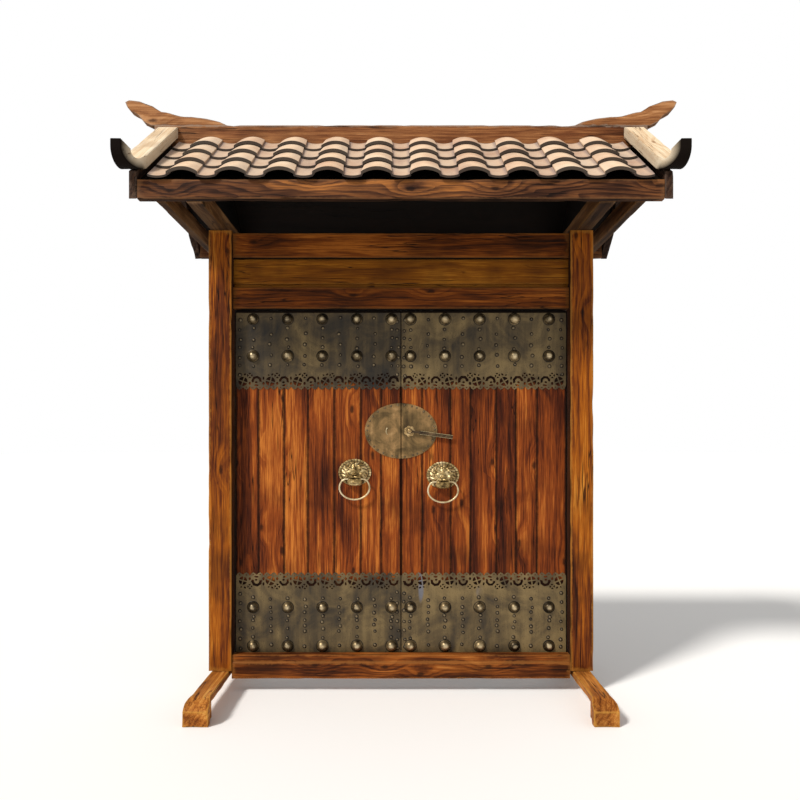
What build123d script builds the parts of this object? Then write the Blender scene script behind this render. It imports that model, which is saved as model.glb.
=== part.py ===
from build123d import *

import os
from math import asin, cos, pi, radians, sin, tan

os.makedirs("parts", exist_ok=True)

# Free-standing courtyard gate: two posts on sledge feet, a tiled roof and a pair of inward opening leaves.
# Millimetres, origin on the ground under the middle, X to the right, Y from front to back, Z up.

# Clearances
seat = 0.3  # between pieces that rest on each other along a slope or a curve
pin_play = 0.05  # radial clearance of a metal pin in its hole
pivot_play = 0.08  # radial clearance of a wooden pivot in its socket

# Posts and feet
opening_half = 1023.0  # from the middle to a post's inner face
post_width = 142.0
post_depth = 140.0
post_top = 2800.0
post_arris = 4.0
foot_top = 132.0
foot_width = 106.0
foot_reach = 586.0  # from the middle to the front of a toe
foot_arch = 87.0  # height of the arch between the toes
toe_width = 140.0
toe_length = 142.0
toe_face = 81.0  # height of the toe's upright face
shoulder_run = 116.0  # length of the curved shoulder above a toe
shoulder_flare = 40.0  # straight length at the toe's full width

# Threshold, lintels and the panel between them
threshold_bottom = 84.0
threshold_height = 145.0
threshold_front = 62.0
threshold_lip = 12.0  # how far the front lip stands above the shelf behind it
groove_drop = 48.0  # from the lip's top down to the groove
groove_size = 4.0
lintel_bottom = 2330.0
lintel_height = 134.0
lintel_front = 30.0
lintel_back = 60.0
panel_opening = 177.0
panel_back = 20.0
panel_field_proud = 18.0
panel_margin_low = 21.0
panel_margin_high = 7.0
head_lintel_height = 153.0
beam_arris = 3.0

# Leaves and their pivots
leaf_front = 10.0
leaf_thick = 50.0
leaf_meeting_gap = 3.0  # from the middle to a leaf's meeting edge, at its face
leaf_rear_gap = 0.8  # the same at its back, which swings in less
leaf_side_gap = 8.0
leaf_foot_gap = 5.0
leaf_head_gap = 17.0
leaf_arris = 2.0
lip_gap = 9.0  # between the leaf's face and the threshold's lip, clear of the turning outer corner
stile_radius = 22.0
stile_inset = 38.0  # from the post's inner face to the pivot axis
stile_gap = 0.3
tenon_radius = 12.0
tenon_seat = 42.0
socket_wall = 18.0
rail_height = 72.0
pillow_height = 95.0
batten_height = 64.0
batten_thick = 30.0
batten_flare = 8.0
batten_end = 57.0
batten_stile_gap = 40.0
batten_rows = (0.16, 0.52, 0.86)  # heights on the leaf as shares of its own height

# Metal bands and studs; a dome's steps pair shares of its width with heights off the leaf
band_thick = 2.0
upper_band = 474.0
lower_band = 496.0
lobe_count = 12
lobe_depth = 26.0
piercing_inset = 62.0
piercing_width = 42.0
piercing_height = 38.0
stud_radius = 35.0
stud_steps = ((1.0, 2.0), (0.81, 19.0), (0.32, 32.0))
stud_sides = 8
stud_columns = 5
stud_first = 58.0  # from the middle to the first column
stud_margin = 105.3  # from the leaf's outer edge to the last column
upper_stud_rows = (39.0, 266.0)  # below the leaf's top
lower_stud_rows = (43.0, 280.0)  # above the leaf's foot

# Lock plate, latch bar and keeper
lock_drop = 81.0  # from the upper band's tips down to the plate's top
lock_half_width = 223.6
lock_half_height = 171.0
lock_thick = 3.0
lock_sides = 44
latch_x = 52.0
latch_drop = 2.0
latch_eye = 17.0
latch_pin = 6.0
latch_length = 280.0
latch_width = 21.0
latch_neck = 12.0
latch_neck_length = 48.0
latch_thick = 8.0
latch_droop = 8.0  # degrees below level
latch_standoff = 12.0  # from the lock plate to the back of the bar
escutcheon_radius = 31.0
escutcheon_thick = 3.0
latch_head_radius = 12.0
latch_head_thick = 6.0
keeper_x = 86.0
keeper_height = 46.0
keeper_width = 7.0
keeper_bow = 9.0
keeper_thick = 4.0

# Knockers: an oval rim, a beast's face and a ring held in its cheeks
knocker_places = {"left": (-284.0, 83.0), "right": (257.0, 100.0)}  # x, and the drop below the lock plate
rim_half_width = 101.0
rim_half_height = 83.0
rim_thick = 6.0
rim_lobes = 18
rim_notch = 0.95
face_sides = 16
face_half_width = 82.0
face_half_height = 66.0
face_steps = ((1.0, 0.0), (0.9, 23.0), (0.5, 39.0))
muzzle_sides = 10
muzzle_half_width = 48.0
muzzle_half_height = 37.0
muzzle_drop = 51.0  # below the rim's centre
muzzle_steps = ((1.0, 0.0), (0.9, 48.0), (0.65, 64.0))
nose_width = 30.0
nose_height = 24.0
nose_depth = 46.0
brow_length = 44.0
brow_height = 15.0
brow_drop = 20.0  # degrees that each brow falls towards the nose
brow_x = 34.0
brow_z = 26.0
brow_depth = 40.0
eye_x = 33.0
eye_z = 8.0
eye_radius = 9.0
eye_depth = 40.0
ear_x = 66.0
ear_z = 44.0
ear_radius = 18.0
ear_depth = 20.0
ring_half_width = 92.0
ring_half_height = 73.0
ring_wire = 5.5
ring_chords = 14
ring_pin = 4.6
ring_pin_end = 36.0  # from the face's middle to the inner end of a ring pin
ring_axis_drop = 40.0  # below the rim's centre
ring_end_rise = 52.0  # from the ring's centre up to its pins
ring_standoff = 35.0  # from the leaf's face to the ring's plane

# Roof frame
roof_angle = radians(36.8)
eave_out = 600.0  # from the middle to an eave beam's outer face
eave_thick = 45.0
eave_height = 107.5
arm_width = 86.0
arm_offset = 16.0
side_beam_width = 48.0
side_beam_inset = 85.0
deck_thick = 18.0
deck_margin = 45.0  # from the tiles to the deck's edge
gable_thick = 28.0
barge_thick = 45.0
barge_drop = 150.0
ridge_half_thick = 45.0
ridge_rise = 109.0  # above the deck's peak
ridge_overhang = 104.0
horn_thick = 60.0
horn_run = 400.0
horn_overhang = 188.0
horn_lift = 161.0
horn_nose = 30.0
horn_body = 75.0
horn_tail = 50.0
horn_tail_run = 65.0

# Verge boards with upturned ends
verge_gap = 2.0
verge_width = 126.0
verge_thick = 55.0
verge_lift = 49.0
verge_straight = 575.0  # from the middle to where the underside starts to curl
curl_radius = 30.0
curl_turn = 127.0
curl_steps = 5
tip_length = 20.0
tip_bevel = 44.0  # how much higher the tip's inner edge stands
tip_width = 61.0
tip_out = 25.0  # how far the tip stands outside the board's outer edge
tip_flare = 136.0  # from the start of the curl to where the flare would end

# Roof tiles
tile_courses = 4
tile_spacing = 257.0  # between covers, before they are spread evenly over the roof
roof_overhang = 186.0  # from a post's outer face to the last pan's edge
course_pitch = 178.0
tile_length = 218.0
tile_thick = 12.0
tile_overhang = 6.0
cover_width = 165.0
cover_rise = 33.0
cover_head_width = 140.0
cover_chords = 4
pan_width = 132.0
pan_sag = 15.0
pan_tail_width = 104.0
pan_chords = 3

# Derived places of the frame
post_x = opening_half + post_width / 2
threshold_top = threshold_bottom + threshold_height
shelf_top = threshold_top - threshold_lip
panel_bottom = lintel_bottom + lintel_height
head_lintel_bottom = panel_bottom + panel_opening

# Derived places of the leaves
leaf_bottom = shelf_top + leaf_foot_gap
leaf_top = lintel_bottom - leaf_head_gap
leaf_height = leaf_top - leaf_bottom
leaf_edge = opening_half - leaf_side_gap
leaf_width = leaf_edge - leaf_meeting_gap
leaf_back = leaf_front + leaf_thick
pivot_x = opening_half - stile_inset
pivot_y = leaf_back + stile_gap + stile_radius
leaf_plane = Plane.XZ.offset(-leaf_front)
lock_plane = Plane.XZ.offset(lock_thick - leaf_front)
lock_height = leaf_top - upper_band - lock_drop - lock_half_height

# Derived places of the roof
tile_tilt = asin((tile_thick + seat) / course_pitch)
tile_angle = roof_angle - tile_tilt
eave_top = post_top + eave_height
eave_back = eave_out - eave_thick
pan_tail_y = -(eave_out + tile_overhang)
pan_tail_z = eave_top + seat - tile_overhang * tan(tile_angle)
pan_head_y = pan_tail_y + tile_length * cos(tile_angle)
pan_head_z = pan_tail_z + tile_length * sin(tile_angle)
deck_peak = pan_head_z - seat / cos(roof_angle) - pan_head_y * tan(roof_angle)
deck_upright = deck_thick / cos(roof_angle)
field_half = opening_half + post_width + roof_overhang
tile_columns = round((2 * field_half - pan_width) / tile_spacing)
tile_pitch = (2 * field_half - pan_width) / tile_columns
deck_half = field_half + deck_margin
arm_top = deck_peak - deck_upright - eave_back * tan(roof_angle) - seat
ridge_face = ridge_half_thick + seat
ridge_top = deck_peak + ridge_rise
ridge_half = deck_half + ridge_overhang


def deck_z(y, above=0.0):
    """Height of the deck's upper plane at a distance from the ridge, raised at right angles to it."""
    return deck_peak - abs(y) * tan(roof_angle) + above / cos(roof_angle)


def save(piece, name):
    piece.part.label = name
    export_step(piece.part, f"parts/{name}.step")


def save_pair(piece, stem):
    """Writes a right-hand piece and its mirror image on the left."""
    save(piece, f"right_{stem}")
    with BuildPart() as twin:
        mirror(piece.part, about=Plane.YZ)
    save(twin, f"left_{stem}")


def save_front_and_rear(piece, front_name, rear_name):
    save(piece, front_name)
    with BuildPart() as twin:
        mirror(piece.part, about=Plane.XZ)
    save(twin, rear_name)


def timber(x_span, y_span, z_span, along, arris):
    """A squared timber between two planes each way, with its long edges eased."""
    width, depth = x_span[1] - x_span[0], y_span[1] - y_span[0]
    with BuildPart() as made:
        with BuildSketch(Plane.XY.offset(z_span[0])):
            with Locations(((x_span[0] + x_span[1]) / 2, (y_span[0] + y_span[1]) / 2)):
                Rectangle(width, depth)
        extrude(amount=z_span[1] - z_span[0])
        chamfer(made.edges().filter_by(along), arris)
    return made


def arc_points(half_width, rise, chords):
    """Points evenly spaced along a circular arc over a chord, from right to left."""
    radius = (half_width**2 + rise**2) / (2 * rise)
    half_angle = asin(half_width / radius)
    steps = [half_angle * (1 - 2 * i / chords) for i in range(chords + 1)]
    return [(radius * sin(a), radius * cos(a) - radius + rise) for a in steps]


def oval_points(half_width, half_height, count, notch=1.0):
    """Corners on an oval, with every other one drawn in by the notch."""
    turns = [2 * pi * i / count for i in range(count)]
    scale = [notch if i % 2 else 1.0 for i in range(count)]
    return [(half_width * s * cos(a), half_height * s * sin(a)) for a, s in zip(turns, scale)]


def faceted(sections):
    """A solid with flat faces between polygons that are alike in shape and lie one above another."""
    faces = [Face(Wire.make_polygon(sections[0])), Face(Wire.make_polygon(sections[-1]))]
    for lower, upper in zip(sections, sections[1:]):
        for i in range(len(lower)):
            faces.append(Face(Wire.make_polygon([lower[i - 1], lower[i], upper[i], upper[i - 1]])))
    return Solid(Shell(faces))


def oval_dome(x, z, half_width, half_height, steps, count):
    """A faceted dome over a leaf's face; each step gives a share of its width and a height off the leaf."""
    corners = oval_points(half_width, half_height, count)
    return faceted(
        [[(x + u * share, leaf_front - depth, z + v * share) for u, v in corners] for share, depth in steps]
    )


# Posts
post = timber(
    (opening_half, opening_half + post_width),
    (-post_depth / 2, post_depth / 2),
    (foot_top, post_top),
    Axis.Z,
    post_arris,
)
save_pair(post, "post")

# Sledge feet: the side view gives the arch and shoulders, the plan gives the flared toes
shoulder_y = foot_reach - shoulder_run
flare_y = foot_reach - shoulder_flare
with BuildPart() as foot:
    with BuildSketch(Plane.YZ.offset(post_x)):
        with BuildLine():
            Line((0, foot_top), (-shoulder_y, foot_top))
            TangentArc((-shoulder_y, foot_top), (-foot_reach, toe_face), tangent=(-1, 0))
            Polyline(
                (-foot_reach, toe_face),
                (-foot_reach, 0),
                (-foot_reach + toe_length, 0),
                (-foot_reach + toe_length, foot_arch),
                (0, foot_arch),
            )
            mirror(about=Plane.YZ)
        make_face()
    extrude(amount=toe_width / 2, both=True)
    with BuildSketch(Plane.XY) as plan:
        with BuildLine():
            Line((post_x, -foot_reach), (post_x + toe_width / 2, -foot_reach))
            Line((post_x + toe_width / 2, -foot_reach), (post_x + toe_width / 2, -flare_y))
            Line((post_x + toe_width / 2, -flare_y), (post_x + foot_width / 2, -shoulder_y))
            Line((post_x + foot_width / 2, -shoulder_y), (post_x + foot_width / 2, 0))
            Line((post_x + foot_width / 2, 0), (post_x, 0))
            Line((post_x, 0), (post_x, -foot_reach))
        make_face()
        mirror(about=Plane.XZ)
        mirror(about=Plane.YZ.offset(post_x))
    extrude(amount=foot_top, mode=Mode.INTERSECT)
save_pair(foot, "foot")

# Threshold: a grooved front, a lip that stops the leaves and a lower shelf under them
lip_back = leaf_front - lip_gap
groove_z = threshold_top - groove_drop
with BuildPart() as threshold:
    with BuildSketch(Plane.YZ):
        Polygon(
            (-threshold_front, threshold_bottom),
            (post_depth / 2, threshold_bottom),
            (post_depth / 2, shelf_top),
            (lip_back, shelf_top),
            (lip_back, threshold_top),
            (-threshold_front + groove_size, threshold_top),
            (-threshold_front + groove_size, groove_z + groove_size),
            (-threshold_front, groove_z),
            align=None,
        )
    extrude(amount=opening_half, both=True)
save(threshold, "threshold")

# Lintels
lower_lintel = timber(
    (-opening_half, opening_half),
    (-lintel_front, lintel_back),
    (lintel_bottom, panel_bottom),
    Axis.X,
    beam_arris,
)
save(lower_lintel, "lower_lintel")
upper_lintel = timber(
    (-opening_half, opening_half),
    (-lintel_front, lintel_back),
    (head_lintel_bottom, head_lintel_bottom + head_lintel_height),
    Axis.X,
    beam_arris,
)
save(upper_lintel, "upper_lintel")

# Transom panel: a board with a raised field on its face
field_low = panel_bottom + panel_margin_low
field_high = head_lintel_bottom - panel_margin_high
with BuildPart() as transom_panel:
    with BuildSketch(Plane.YZ):
        Polygon(
            (0, panel_bottom),
            (panel_back, panel_bottom),
            (panel_back, head_lintel_bottom),
            (0, head_lintel_bottom),
            (0, field_high),
            (-panel_field_proud, field_high),
            (-panel_field_proud, field_low),
            (0, field_low),
            align=None,
        )
    extrude(amount=opening_half, both=True)
save(transom_panel, "transom_panel")

# Pivot sockets: a rail behind the lintel and a pillow block behind the threshold at each side
socket_back = pivot_y + tenon_radius + socket_wall
rail_top = lintel_bottom + rail_height
with BuildPart() as socket_rail:
    with BuildSketch(Plane.XY.offset(lintel_bottom)):
        with Locations((0, (lintel_back + socket_back) / 2)):
            Rectangle(2 * opening_half, socket_back - lintel_back)
    extrude(amount=rail_height)
    with Locations((pivot_x, pivot_y, lintel_bottom), (-pivot_x, pivot_y, lintel_bottom)):
        Cylinder(
            tenon_radius + pivot_play,
            tenon_seat + seat,
            align=(Align.CENTER, Align.CENTER, Align.MIN),
            mode=Mode.SUBTRACT,
        )
save(socket_rail, "socket_rail")

pillow_inner = pivot_x - tenon_radius - 2 * socket_wall
with BuildPart() as pillow_block:
    with BuildSketch(Plane.XY.offset(shelf_top - pillow_height)):
        with Locations(((pillow_inner + opening_half) / 2, (post_depth / 2 + socket_back) / 2)):
            Rectangle(opening_half - pillow_inner, socket_back - post_depth / 2)
    extrude(amount=pillow_height)
    chamfer(pillow_block.edges().filter_by(Axis.Z).group_by(Axis.Y)[-1].sort_by(Axis.X)[0], socket_wall)
    with Locations((pivot_x, pivot_y, shelf_top - tenon_seat - seat)):
        Cylinder(
            tenon_radius + pivot_play,
            tenon_seat + seat,
            align=(Align.CENTER, Align.CENTER, Align.MIN),
            mode=Mode.SUBTRACT,
        )
save_pair(pillow_block, "pillow_block")

# Leaf boards: in plan the meeting edge slants toward the middle, as far as the swing leaves room
with BuildPart() as leaf_board:
    with BuildSketch(Plane.XY.offset(leaf_bottom)):
        Polygon(
            (leaf_meeting_gap + leaf_arris, leaf_front),
            (leaf_edge - leaf_arris, leaf_front),
            (leaf_edge, leaf_front + leaf_arris),
            (leaf_edge, leaf_back),
            (leaf_rear_gap, leaf_back),
            (leaf_meeting_gap, leaf_front + leaf_arris),
            align=None,
        )
    extrude(amount=leaf_height)
save_pair(leaf_board, "leaf_boards")

# Pivot stile: an eight-sided pole behind each leaf, turned down to a tenon at both ends
with BuildPart() as stile:
    with BuildSketch(Plane.XY.offset(leaf_bottom)):
        with Locations((pivot_x, pivot_y)):
            RegularPolygon(stile_radius, 8, major_radius=False, rotation=22.5)
    extrude(amount=leaf_height)
    with BuildSketch(Plane.XY.offset(shelf_top - tenon_seat)):
        with Locations((pivot_x, pivot_y)):
            Circle(tenon_radius)
    extrude(amount=lintel_bottom - shelf_top + 2 * tenon_seat)
save_pair(stile, "pivot_stile")

# Battens: dovetail rails across the back of each leaf
batten_far = pivot_x - stile_radius - batten_stile_gap
batten_near = leaf_meeting_gap + batten_end
with BuildPart() as battens:
    for share in batten_rows:
        centre_z = leaf_bottom + share * leaf_height
        with BuildSketch(Plane.YZ.offset(batten_near)):
            Polygon(
                (leaf_back, centre_z - batten_height / 2),
                (leaf_back + batten_thick, centre_z - batten_height / 2 + batten_flare),
                (leaf_back + batten_thick, centre_z + batten_height / 2 - batten_flare),
                (leaf_back, centre_z + batten_height / 2),
                align=None,
            )
        extrude(amount=batten_far - batten_near)
save_pair(battens, "battens")


def band(straight_z, tip_z):
    """A thin plate from a leaf's end to a row of pointed lobes, each with a lozenge pierced above its tip."""
    reach = tip_z - straight_z
    sign = 1 if reach > 0 else -1
    pitch = leaf_width / lobe_count
    edge = [(leaf_meeting_gap, tip_z - sign * lobe_depth)]
    for i in range(lobe_count):
        start = leaf_meeting_gap + i * pitch
        edge.append((start + pitch / 2, tip_z))
        edge.append((start + pitch, tip_z - sign * lobe_depth))
    lozenges = [
        (leaf_meeting_gap + (i + 0.5) * pitch, tip_z - sign * piercing_inset) for i in range(lobe_count)
    ]
    half_width, half_height = piercing_width / 2, piercing_height / 2
    with BuildPart() as made:
        with BuildSketch(leaf_plane):
            Polygon((leaf_edge, straight_z), (leaf_meeting_gap, straight_z), *edge, align=None)
            with Locations(*lozenges):
                Polygon(
                    (half_width, 0),
                    (0, half_height),
                    (-half_width, 0),
                    (0, -half_height),
                    align=None,
                    mode=Mode.SUBTRACT,
                )
        extrude(amount=band_thick)
    return made


save_pair(band(leaf_top, leaf_top - upper_band), "upper_band")
save_pair(band(leaf_bottom, leaf_bottom + lower_band), "lower_band")

# Domed studs in two rows on each band, hammered to facets
stud_pitch = (leaf_edge - stud_margin - stud_first) / (stud_columns - 1)
stud_rows = [leaf_top - row for row in upper_stud_rows] + [leaf_bottom + row for row in lower_stud_rows]
with BuildPart() as studs:
    for row in stud_rows:
        for column in range(stud_columns):
            stud_x = stud_first + column * stud_pitch
            add(oval_dome(stud_x, row, stud_radius, stud_radius, stud_steps, stud_sides))
save_pair(studs, "studs")

# Lock plate: an oval cut in two by the meeting edges
with BuildPart() as lock_half:
    with BuildSketch(leaf_plane):
        with Locations((0, lock_height)):
            Polygon(*oval_points(lock_half_width, lock_half_height, lock_sides), align=None)
            Rectangle(
                lock_half_width + leaf_meeting_gap,
                2 * lock_half_height,
                align=(Align.MAX, Align.CENTER),
                mode=Mode.SUBTRACT,
            )
            Rectangle(leaf_meeting_gap, 2 * lock_half_height, align=(Align.MIN, Align.CENTER), mode=Mode.SUBTRACT)
    extrude(amount=lock_thick)
save_pair(lock_half, "lock_plate")

# Latch post on the right half: an escutcheon, a round shank and a head that keeps the bar on
latch_z = lock_height - latch_drop
shank_length = latch_standoff + latch_thick + seat
with BuildPart() as latch_post:
    with BuildSketch(lock_plane):
        with Locations((latch_x, latch_z)):
            RegularPolygon(escutcheon_radius, 8)
    extrude(amount=escutcheon_thick)
    with BuildSketch(lock_plane.offset(escutcheon_thick)):
        with Locations((latch_x, latch_z)):
            RegularPolygon(latch_eye, 8)
    extrude(amount=latch_standoff - escutcheon_thick - seat)
    with BuildSketch(lock_plane.offset(escutcheon_thick)):
        with Locations((latch_x, latch_z)):
            Circle(latch_pin)
    extrude(amount=shank_length - escutcheon_thick)
    with BuildSketch(lock_plane.offset(shank_length)):
        with Locations((latch_x, latch_z)):
            RegularPolygon(latch_head_radius, 8)
    extrude(amount=latch_head_thick)
save(latch_post, "latch_post")

# Latch bar: an eye on the post, a narrow neck and a flat bar
with BuildPart() as latch_bar:
    with BuildSketch(lock_plane.offset(latch_standoff)):
        with Locations(Location((latch_x, latch_z), -latch_droop)):
            RegularPolygon(latch_eye, 8)
            Rectangle(latch_length - latch_width / 2, latch_neck, align=(Align.MIN, Align.CENTER))
            with Locations((latch_eye + latch_neck_length, 0)):
                Rectangle(
                    latch_length - latch_eye - latch_neck_length,
                    latch_width,
                    align=(Align.MIN, Align.CENTER),
                )
            Circle(latch_pin + pin_play, mode=Mode.SUBTRACT)
    extrude(amount=latch_thick)
save(latch_bar, "latch_bar")

# Keeper on the left half: a bowed lug that the bar lies across
with BuildPart() as keeper:
    with BuildSketch(lock_plane):
        with BuildLine():
            bow = Polyline(
                (-keeper_x, latch_z - keeper_height / 2),
                (-keeper_x - keeper_bow, latch_z - keeper_height / 6),
                (-keeper_x - keeper_bow, latch_z + keeper_height / 6),
                (-keeper_x, latch_z + keeper_height / 2),
            )
            Polyline(
                bow @ 1,
                (-keeper_x + keeper_width, latch_z + keeper_height / 2),
                (-keeper_x - keeper_bow + keeper_width, latch_z + keeper_height / 6),
                (-keeper_x - keeper_bow + keeper_width, latch_z - keeper_height / 6),
                (-keeper_x + keeper_width, latch_z - keeper_height / 2),
                bow @ 0,
            )
        make_face()
    extrude(amount=keeper_thick)
save(keeper, "left_keeper")


def knocker_face(x, z):
    """A scalloped oval rim with a beast's head: dome, brows, eyes, ears, nose and a muzzle bored for the ring."""
    axis_z = z - ring_axis_drop
    with BuildPart() as made:
        with BuildSketch(leaf_plane):
            with Locations((x, z)):
                Polygon(
                    *oval_points(rim_half_width, rim_half_height, 2 * rim_lobes, rim_notch), align=None
                )
        extrude(amount=rim_thick)
        add(oval_dome(x, z, face_half_width, face_half_height, face_steps, face_sides))
        add(
            oval_dome(x, z - muzzle_drop, muzzle_half_width, muzzle_half_height, muzzle_steps, muzzle_sides)
        )
        with BuildSketch(leaf_plane.offset(rim_thick)):
            with Locations((x, z - nose_height / 2)):
                Trapezoid(nose_width, nose_height, 65)
        extrude(amount=nose_depth)
        for turn in (-1, 1):
            with BuildSketch(leaf_plane.offset(rim_thick)):
                with Locations(Location((x + turn * brow_x, z + brow_z), turn * brow_drop)):
                    Rectangle(brow_length, brow_height)
            extrude(amount=brow_depth)
            with BuildSketch(leaf_plane.offset(rim_thick)):
                with Locations((x + turn * eye_x, z + eye_z)):
                    RegularPolygon(eye_radius, 6)
            extrude(amount=eye_depth - rim_thick)
            with BuildSketch(leaf_plane.offset(rim_thick)):
                with Locations((x + turn * ear_x, z + ear_z)):
                    RegularPolygon(ear_radius, 5, rotation=90)
            extrude(amount=ear_depth)
        for turn in (-1, 1):
            with Locations(
                Location((x + turn * ring_pin_end, leaf_front - ring_standoff, axis_z), (0, turn * 90, 0))
            ):
                Cylinder(
                    ring_pin + pin_play,
                    muzzle_half_width,
                    align=(Align.CENTER, Align.CENTER, Align.MIN),
                    mode=Mode.SUBTRACT,
                )
    return made


def knocker_ring(x, z):
    """An open oval ring of round wire whose two ends turn inwards as pins."""
    axis_z = z - ring_axis_drop
    centre_z = axis_z - ring_end_rise
    ring_y = leaf_front - ring_standoff
    end_turn = asin(ring_end_rise / ring_half_height)
    sweep_turn = pi + 2 * end_turn
    turns = [end_turn - sweep_turn * i / ring_chords for i in range(ring_chords + 1)]
    corners = [
        (x + ring_half_width * cos(a), ring_y, centre_z + ring_half_height * sin(a)) for a in turns
    ]
    end_x = ring_half_width * cos(end_turn)
    with BuildPart() as made:
        with BuildLine() as wire:
            Polyline(*corners)
        with BuildSketch(Plane(origin=wire.line @ 0, z_dir=wire.line % 0)):
            RegularPolygon(ring_wire, 6, major_radius=False)
        sweep(transition=Transition.RIGHT)
        for turn in (-1, 1):
            with Locations(Location((x + turn * ring_pin_end, ring_y, axis_z), (0, turn * 90, 0))):
                Cylinder(
                    ring_pin,
                    end_x - ring_pin_end,
                    align=(Align.CENTER, Align.CENTER, Align.MIN),
                )
    return made


for side, (knocker_x, knocker_drop) in knocker_places.items():
    knocker_z = lock_height - lock_half_height - knocker_drop
    save(knocker_face(knocker_x, knocker_z), f"{side}_knocker_face")
    save(knocker_ring(knocker_x, knocker_z), f"{side}_knocker_ring")

# Roof frame: eave beams, side beams and the arms that carry them on the posts
eave_beam = timber((-deck_half, deck_half), (-eave_out, -eave_back), (post_top, eave_top), Axis.X, beam_arris)
save_front_and_rear(eave_beam, "front_eave_beam", "rear_eave_beam")
side_beam = timber(
    (deck_half - side_beam_inset - side_beam_width, deck_half - side_beam_inset),
    (-eave_back, eave_back),
    (post_top, arm_top),
    Axis.Y,
    beam_arris,
)
save_pair(side_beam, "side_beam")
arm_x = post_x + arm_offset
roof_arm = timber(
    (arm_x - arm_width / 2, arm_x + arm_width / 2),
    (-eave_back, eave_back),
    (post_top, arm_top),
    Axis.Y,
    beam_arris,
)
save_pair(roof_arm, "roof_arm")

# Gable boards: a triangle on each arm up to the deck
gable_peak = deck_peak - deck_upright - seat
gable_foot = (gable_peak - arm_top) / tan(roof_angle)
with BuildPart() as gable_board:
    with BuildSketch(Plane.YZ.offset(arm_x - gable_thick / 2)):
        Polygon((-gable_foot, arm_top), (gable_foot, arm_top), (0, gable_peak), align=None)
    extrude(amount=gable_thick)
save_pair(gable_board, "gable_board")

# Deck boards under the tiles, mitred at the ridge
with BuildPart() as deck:
    with BuildSketch(Plane.YZ):
        Polygon(
            (-eave_back, deck_z(eave_back)),
            (-eave_back, deck_z(eave_back) - deck_upright),
            (0, deck_peak - deck_upright),
            (0, deck_peak),
            align=None,
        )
    extrude(amount=deck_half, both=True)
save_front_and_rear(deck, "front_deck", "rear_deck")

# Ridge beam, notched over the deck's peak
with BuildPart() as ridge_beam:
    with BuildSketch(Plane.YZ):
        Polygon(
            (0, deck_peak),
            (ridge_half_thick, deck_z(ridge_half_thick)),
            (ridge_half_thick, ridge_top),
            (-ridge_half_thick, ridge_top),
            (-ridge_half_thick, deck_z(ridge_half_thick)),
            align=None,
        )
    extrude(amount=ridge_half, both=True)
    chamfer(ridge_beam.edges().filter_by(Axis.X).group_by(Axis.Z)[-1], post_arris)
save(ridge_beam, "ridge_beam")

# Ridge horns: sawn boards that sweep up and out past the ridge beam's ends
horn_tip = ridge_half + horn_overhang
horn_start = ridge_half - horn_run
horn_top = ridge_top + horn_lift
with BuildPart() as horn:
    with BuildSketch(Plane.XZ):
        with BuildLine():
            Line((horn_start, ridge_top), (ridge_half, ridge_top))
            ThreePointArc(
                (ridge_half, ridge_top),
                (ridge_half + 0.56 * horn_overhang, ridge_top + 0.3 * horn_lift),
                (horn_tip, horn_top - horn_nose),
            )
            Line((horn_tip, horn_top - horn_nose), (horn_tip - horn_nose / 3, horn_top))
            ThreePointArc(
                (horn_tip - horn_nose / 3, horn_top),
                (ridge_half + 0.22 * horn_overhang, ridge_top + 0.7 * horn_lift),
                (ridge_half - 0.24 * horn_run, ridge_top + horn_body),
            )
            Polyline(
                (ridge_half - 0.24 * horn_run, ridge_top + horn_body),
                (horn_start + horn_tail_run, ridge_top + horn_tail),
                (horn_start, ridge_top),
            )
        make_face()
    extrude(amount=horn_thick / 2, both=True)
save_pair(horn, "ridge_horn")

# Barge boards close the deck's ends, with a nose at the eave and a mitre at the ridge
with BuildPart() as barge_boards:
    with BuildSketch(Plane.YZ.offset(deck_half)):
        Polygon(
            (-eave_out, deck_z(eave_out, verge_lift - seat) - barge_drop),
            (0, deck_z(0, verge_lift - seat) - barge_drop),
            (0, deck_peak),
            (-ridge_face, deck_z(ridge_face)),
            (-ridge_face, deck_z(ridge_face, verge_lift - seat)),
            (-eave_out, deck_z(eave_out, verge_lift - seat)),
            align=None,
        )
        mirror(about=Plane.YZ)
    extrude(amount=barge_thick)
save_pair(barge_boards, "barge_board")


def verge_edge(distance):
    """A line of the verge board's side view: down the slope, round the curl and up to the tip."""
    radius = curl_radius + verge_thick - distance
    lift = verge_lift + distance
    line = [(-ridge_face, deck_z(ridge_face, lift))]
    for i in range(curl_steps + 1):
        turn = roof_angle - radians(curl_turn) * i / curl_steps
        line.append((curl_y + radius * sin(turn), curl_z - radius * cos(turn)))
    rise = tip_length + tip_bevel * distance / verge_thick
    line.append((line[-1][0] - rise * cos(turn), line[-1][1] - rise * sin(turn)))
    return line


# Verge boards: planks laid over the tiles' outer edges, curled up and turned outwards at the eave
curl_y = -verge_straight - (curl_radius + verge_thick) * sin(roof_angle)
curl_z = deck_z(verge_straight, verge_lift) + (curl_radius + verge_thick) * cos(roof_angle)
verge_inner = field_half + verge_gap
verge_outer = verge_inner + verge_width
tip_y = verge_straight + tip_flare
verge_tip_x = verge_outer + tip_out
with BuildPart() as verge_board:
    with BuildSketch(Plane.YZ.offset(verge_inner)):
        Polygon(*verge_edge(0), *reversed(verge_edge(verge_thick)), align=None)
    extrude(amount=verge_width + tip_out)
    with BuildSketch():
        Polygon(
            (verge_inner, 0),
            (verge_inner, -verge_straight),
            (verge_tip_x - tip_width, -tip_y),
            (verge_tip_x, -tip_y),
            (verge_outer, -verge_straight),
            (verge_outer, 0),
            align=None,
        )
    extrude(amount=ridge_top, mode=Mode.INTERSECT)
save_pair(verge_board, "front_verge_board")
with BuildPart() as rear_verge_board:
    mirror(verge_board.part, about=Plane.XZ)
save_pair(rear_verge_board, "rear_verge_board")

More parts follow.
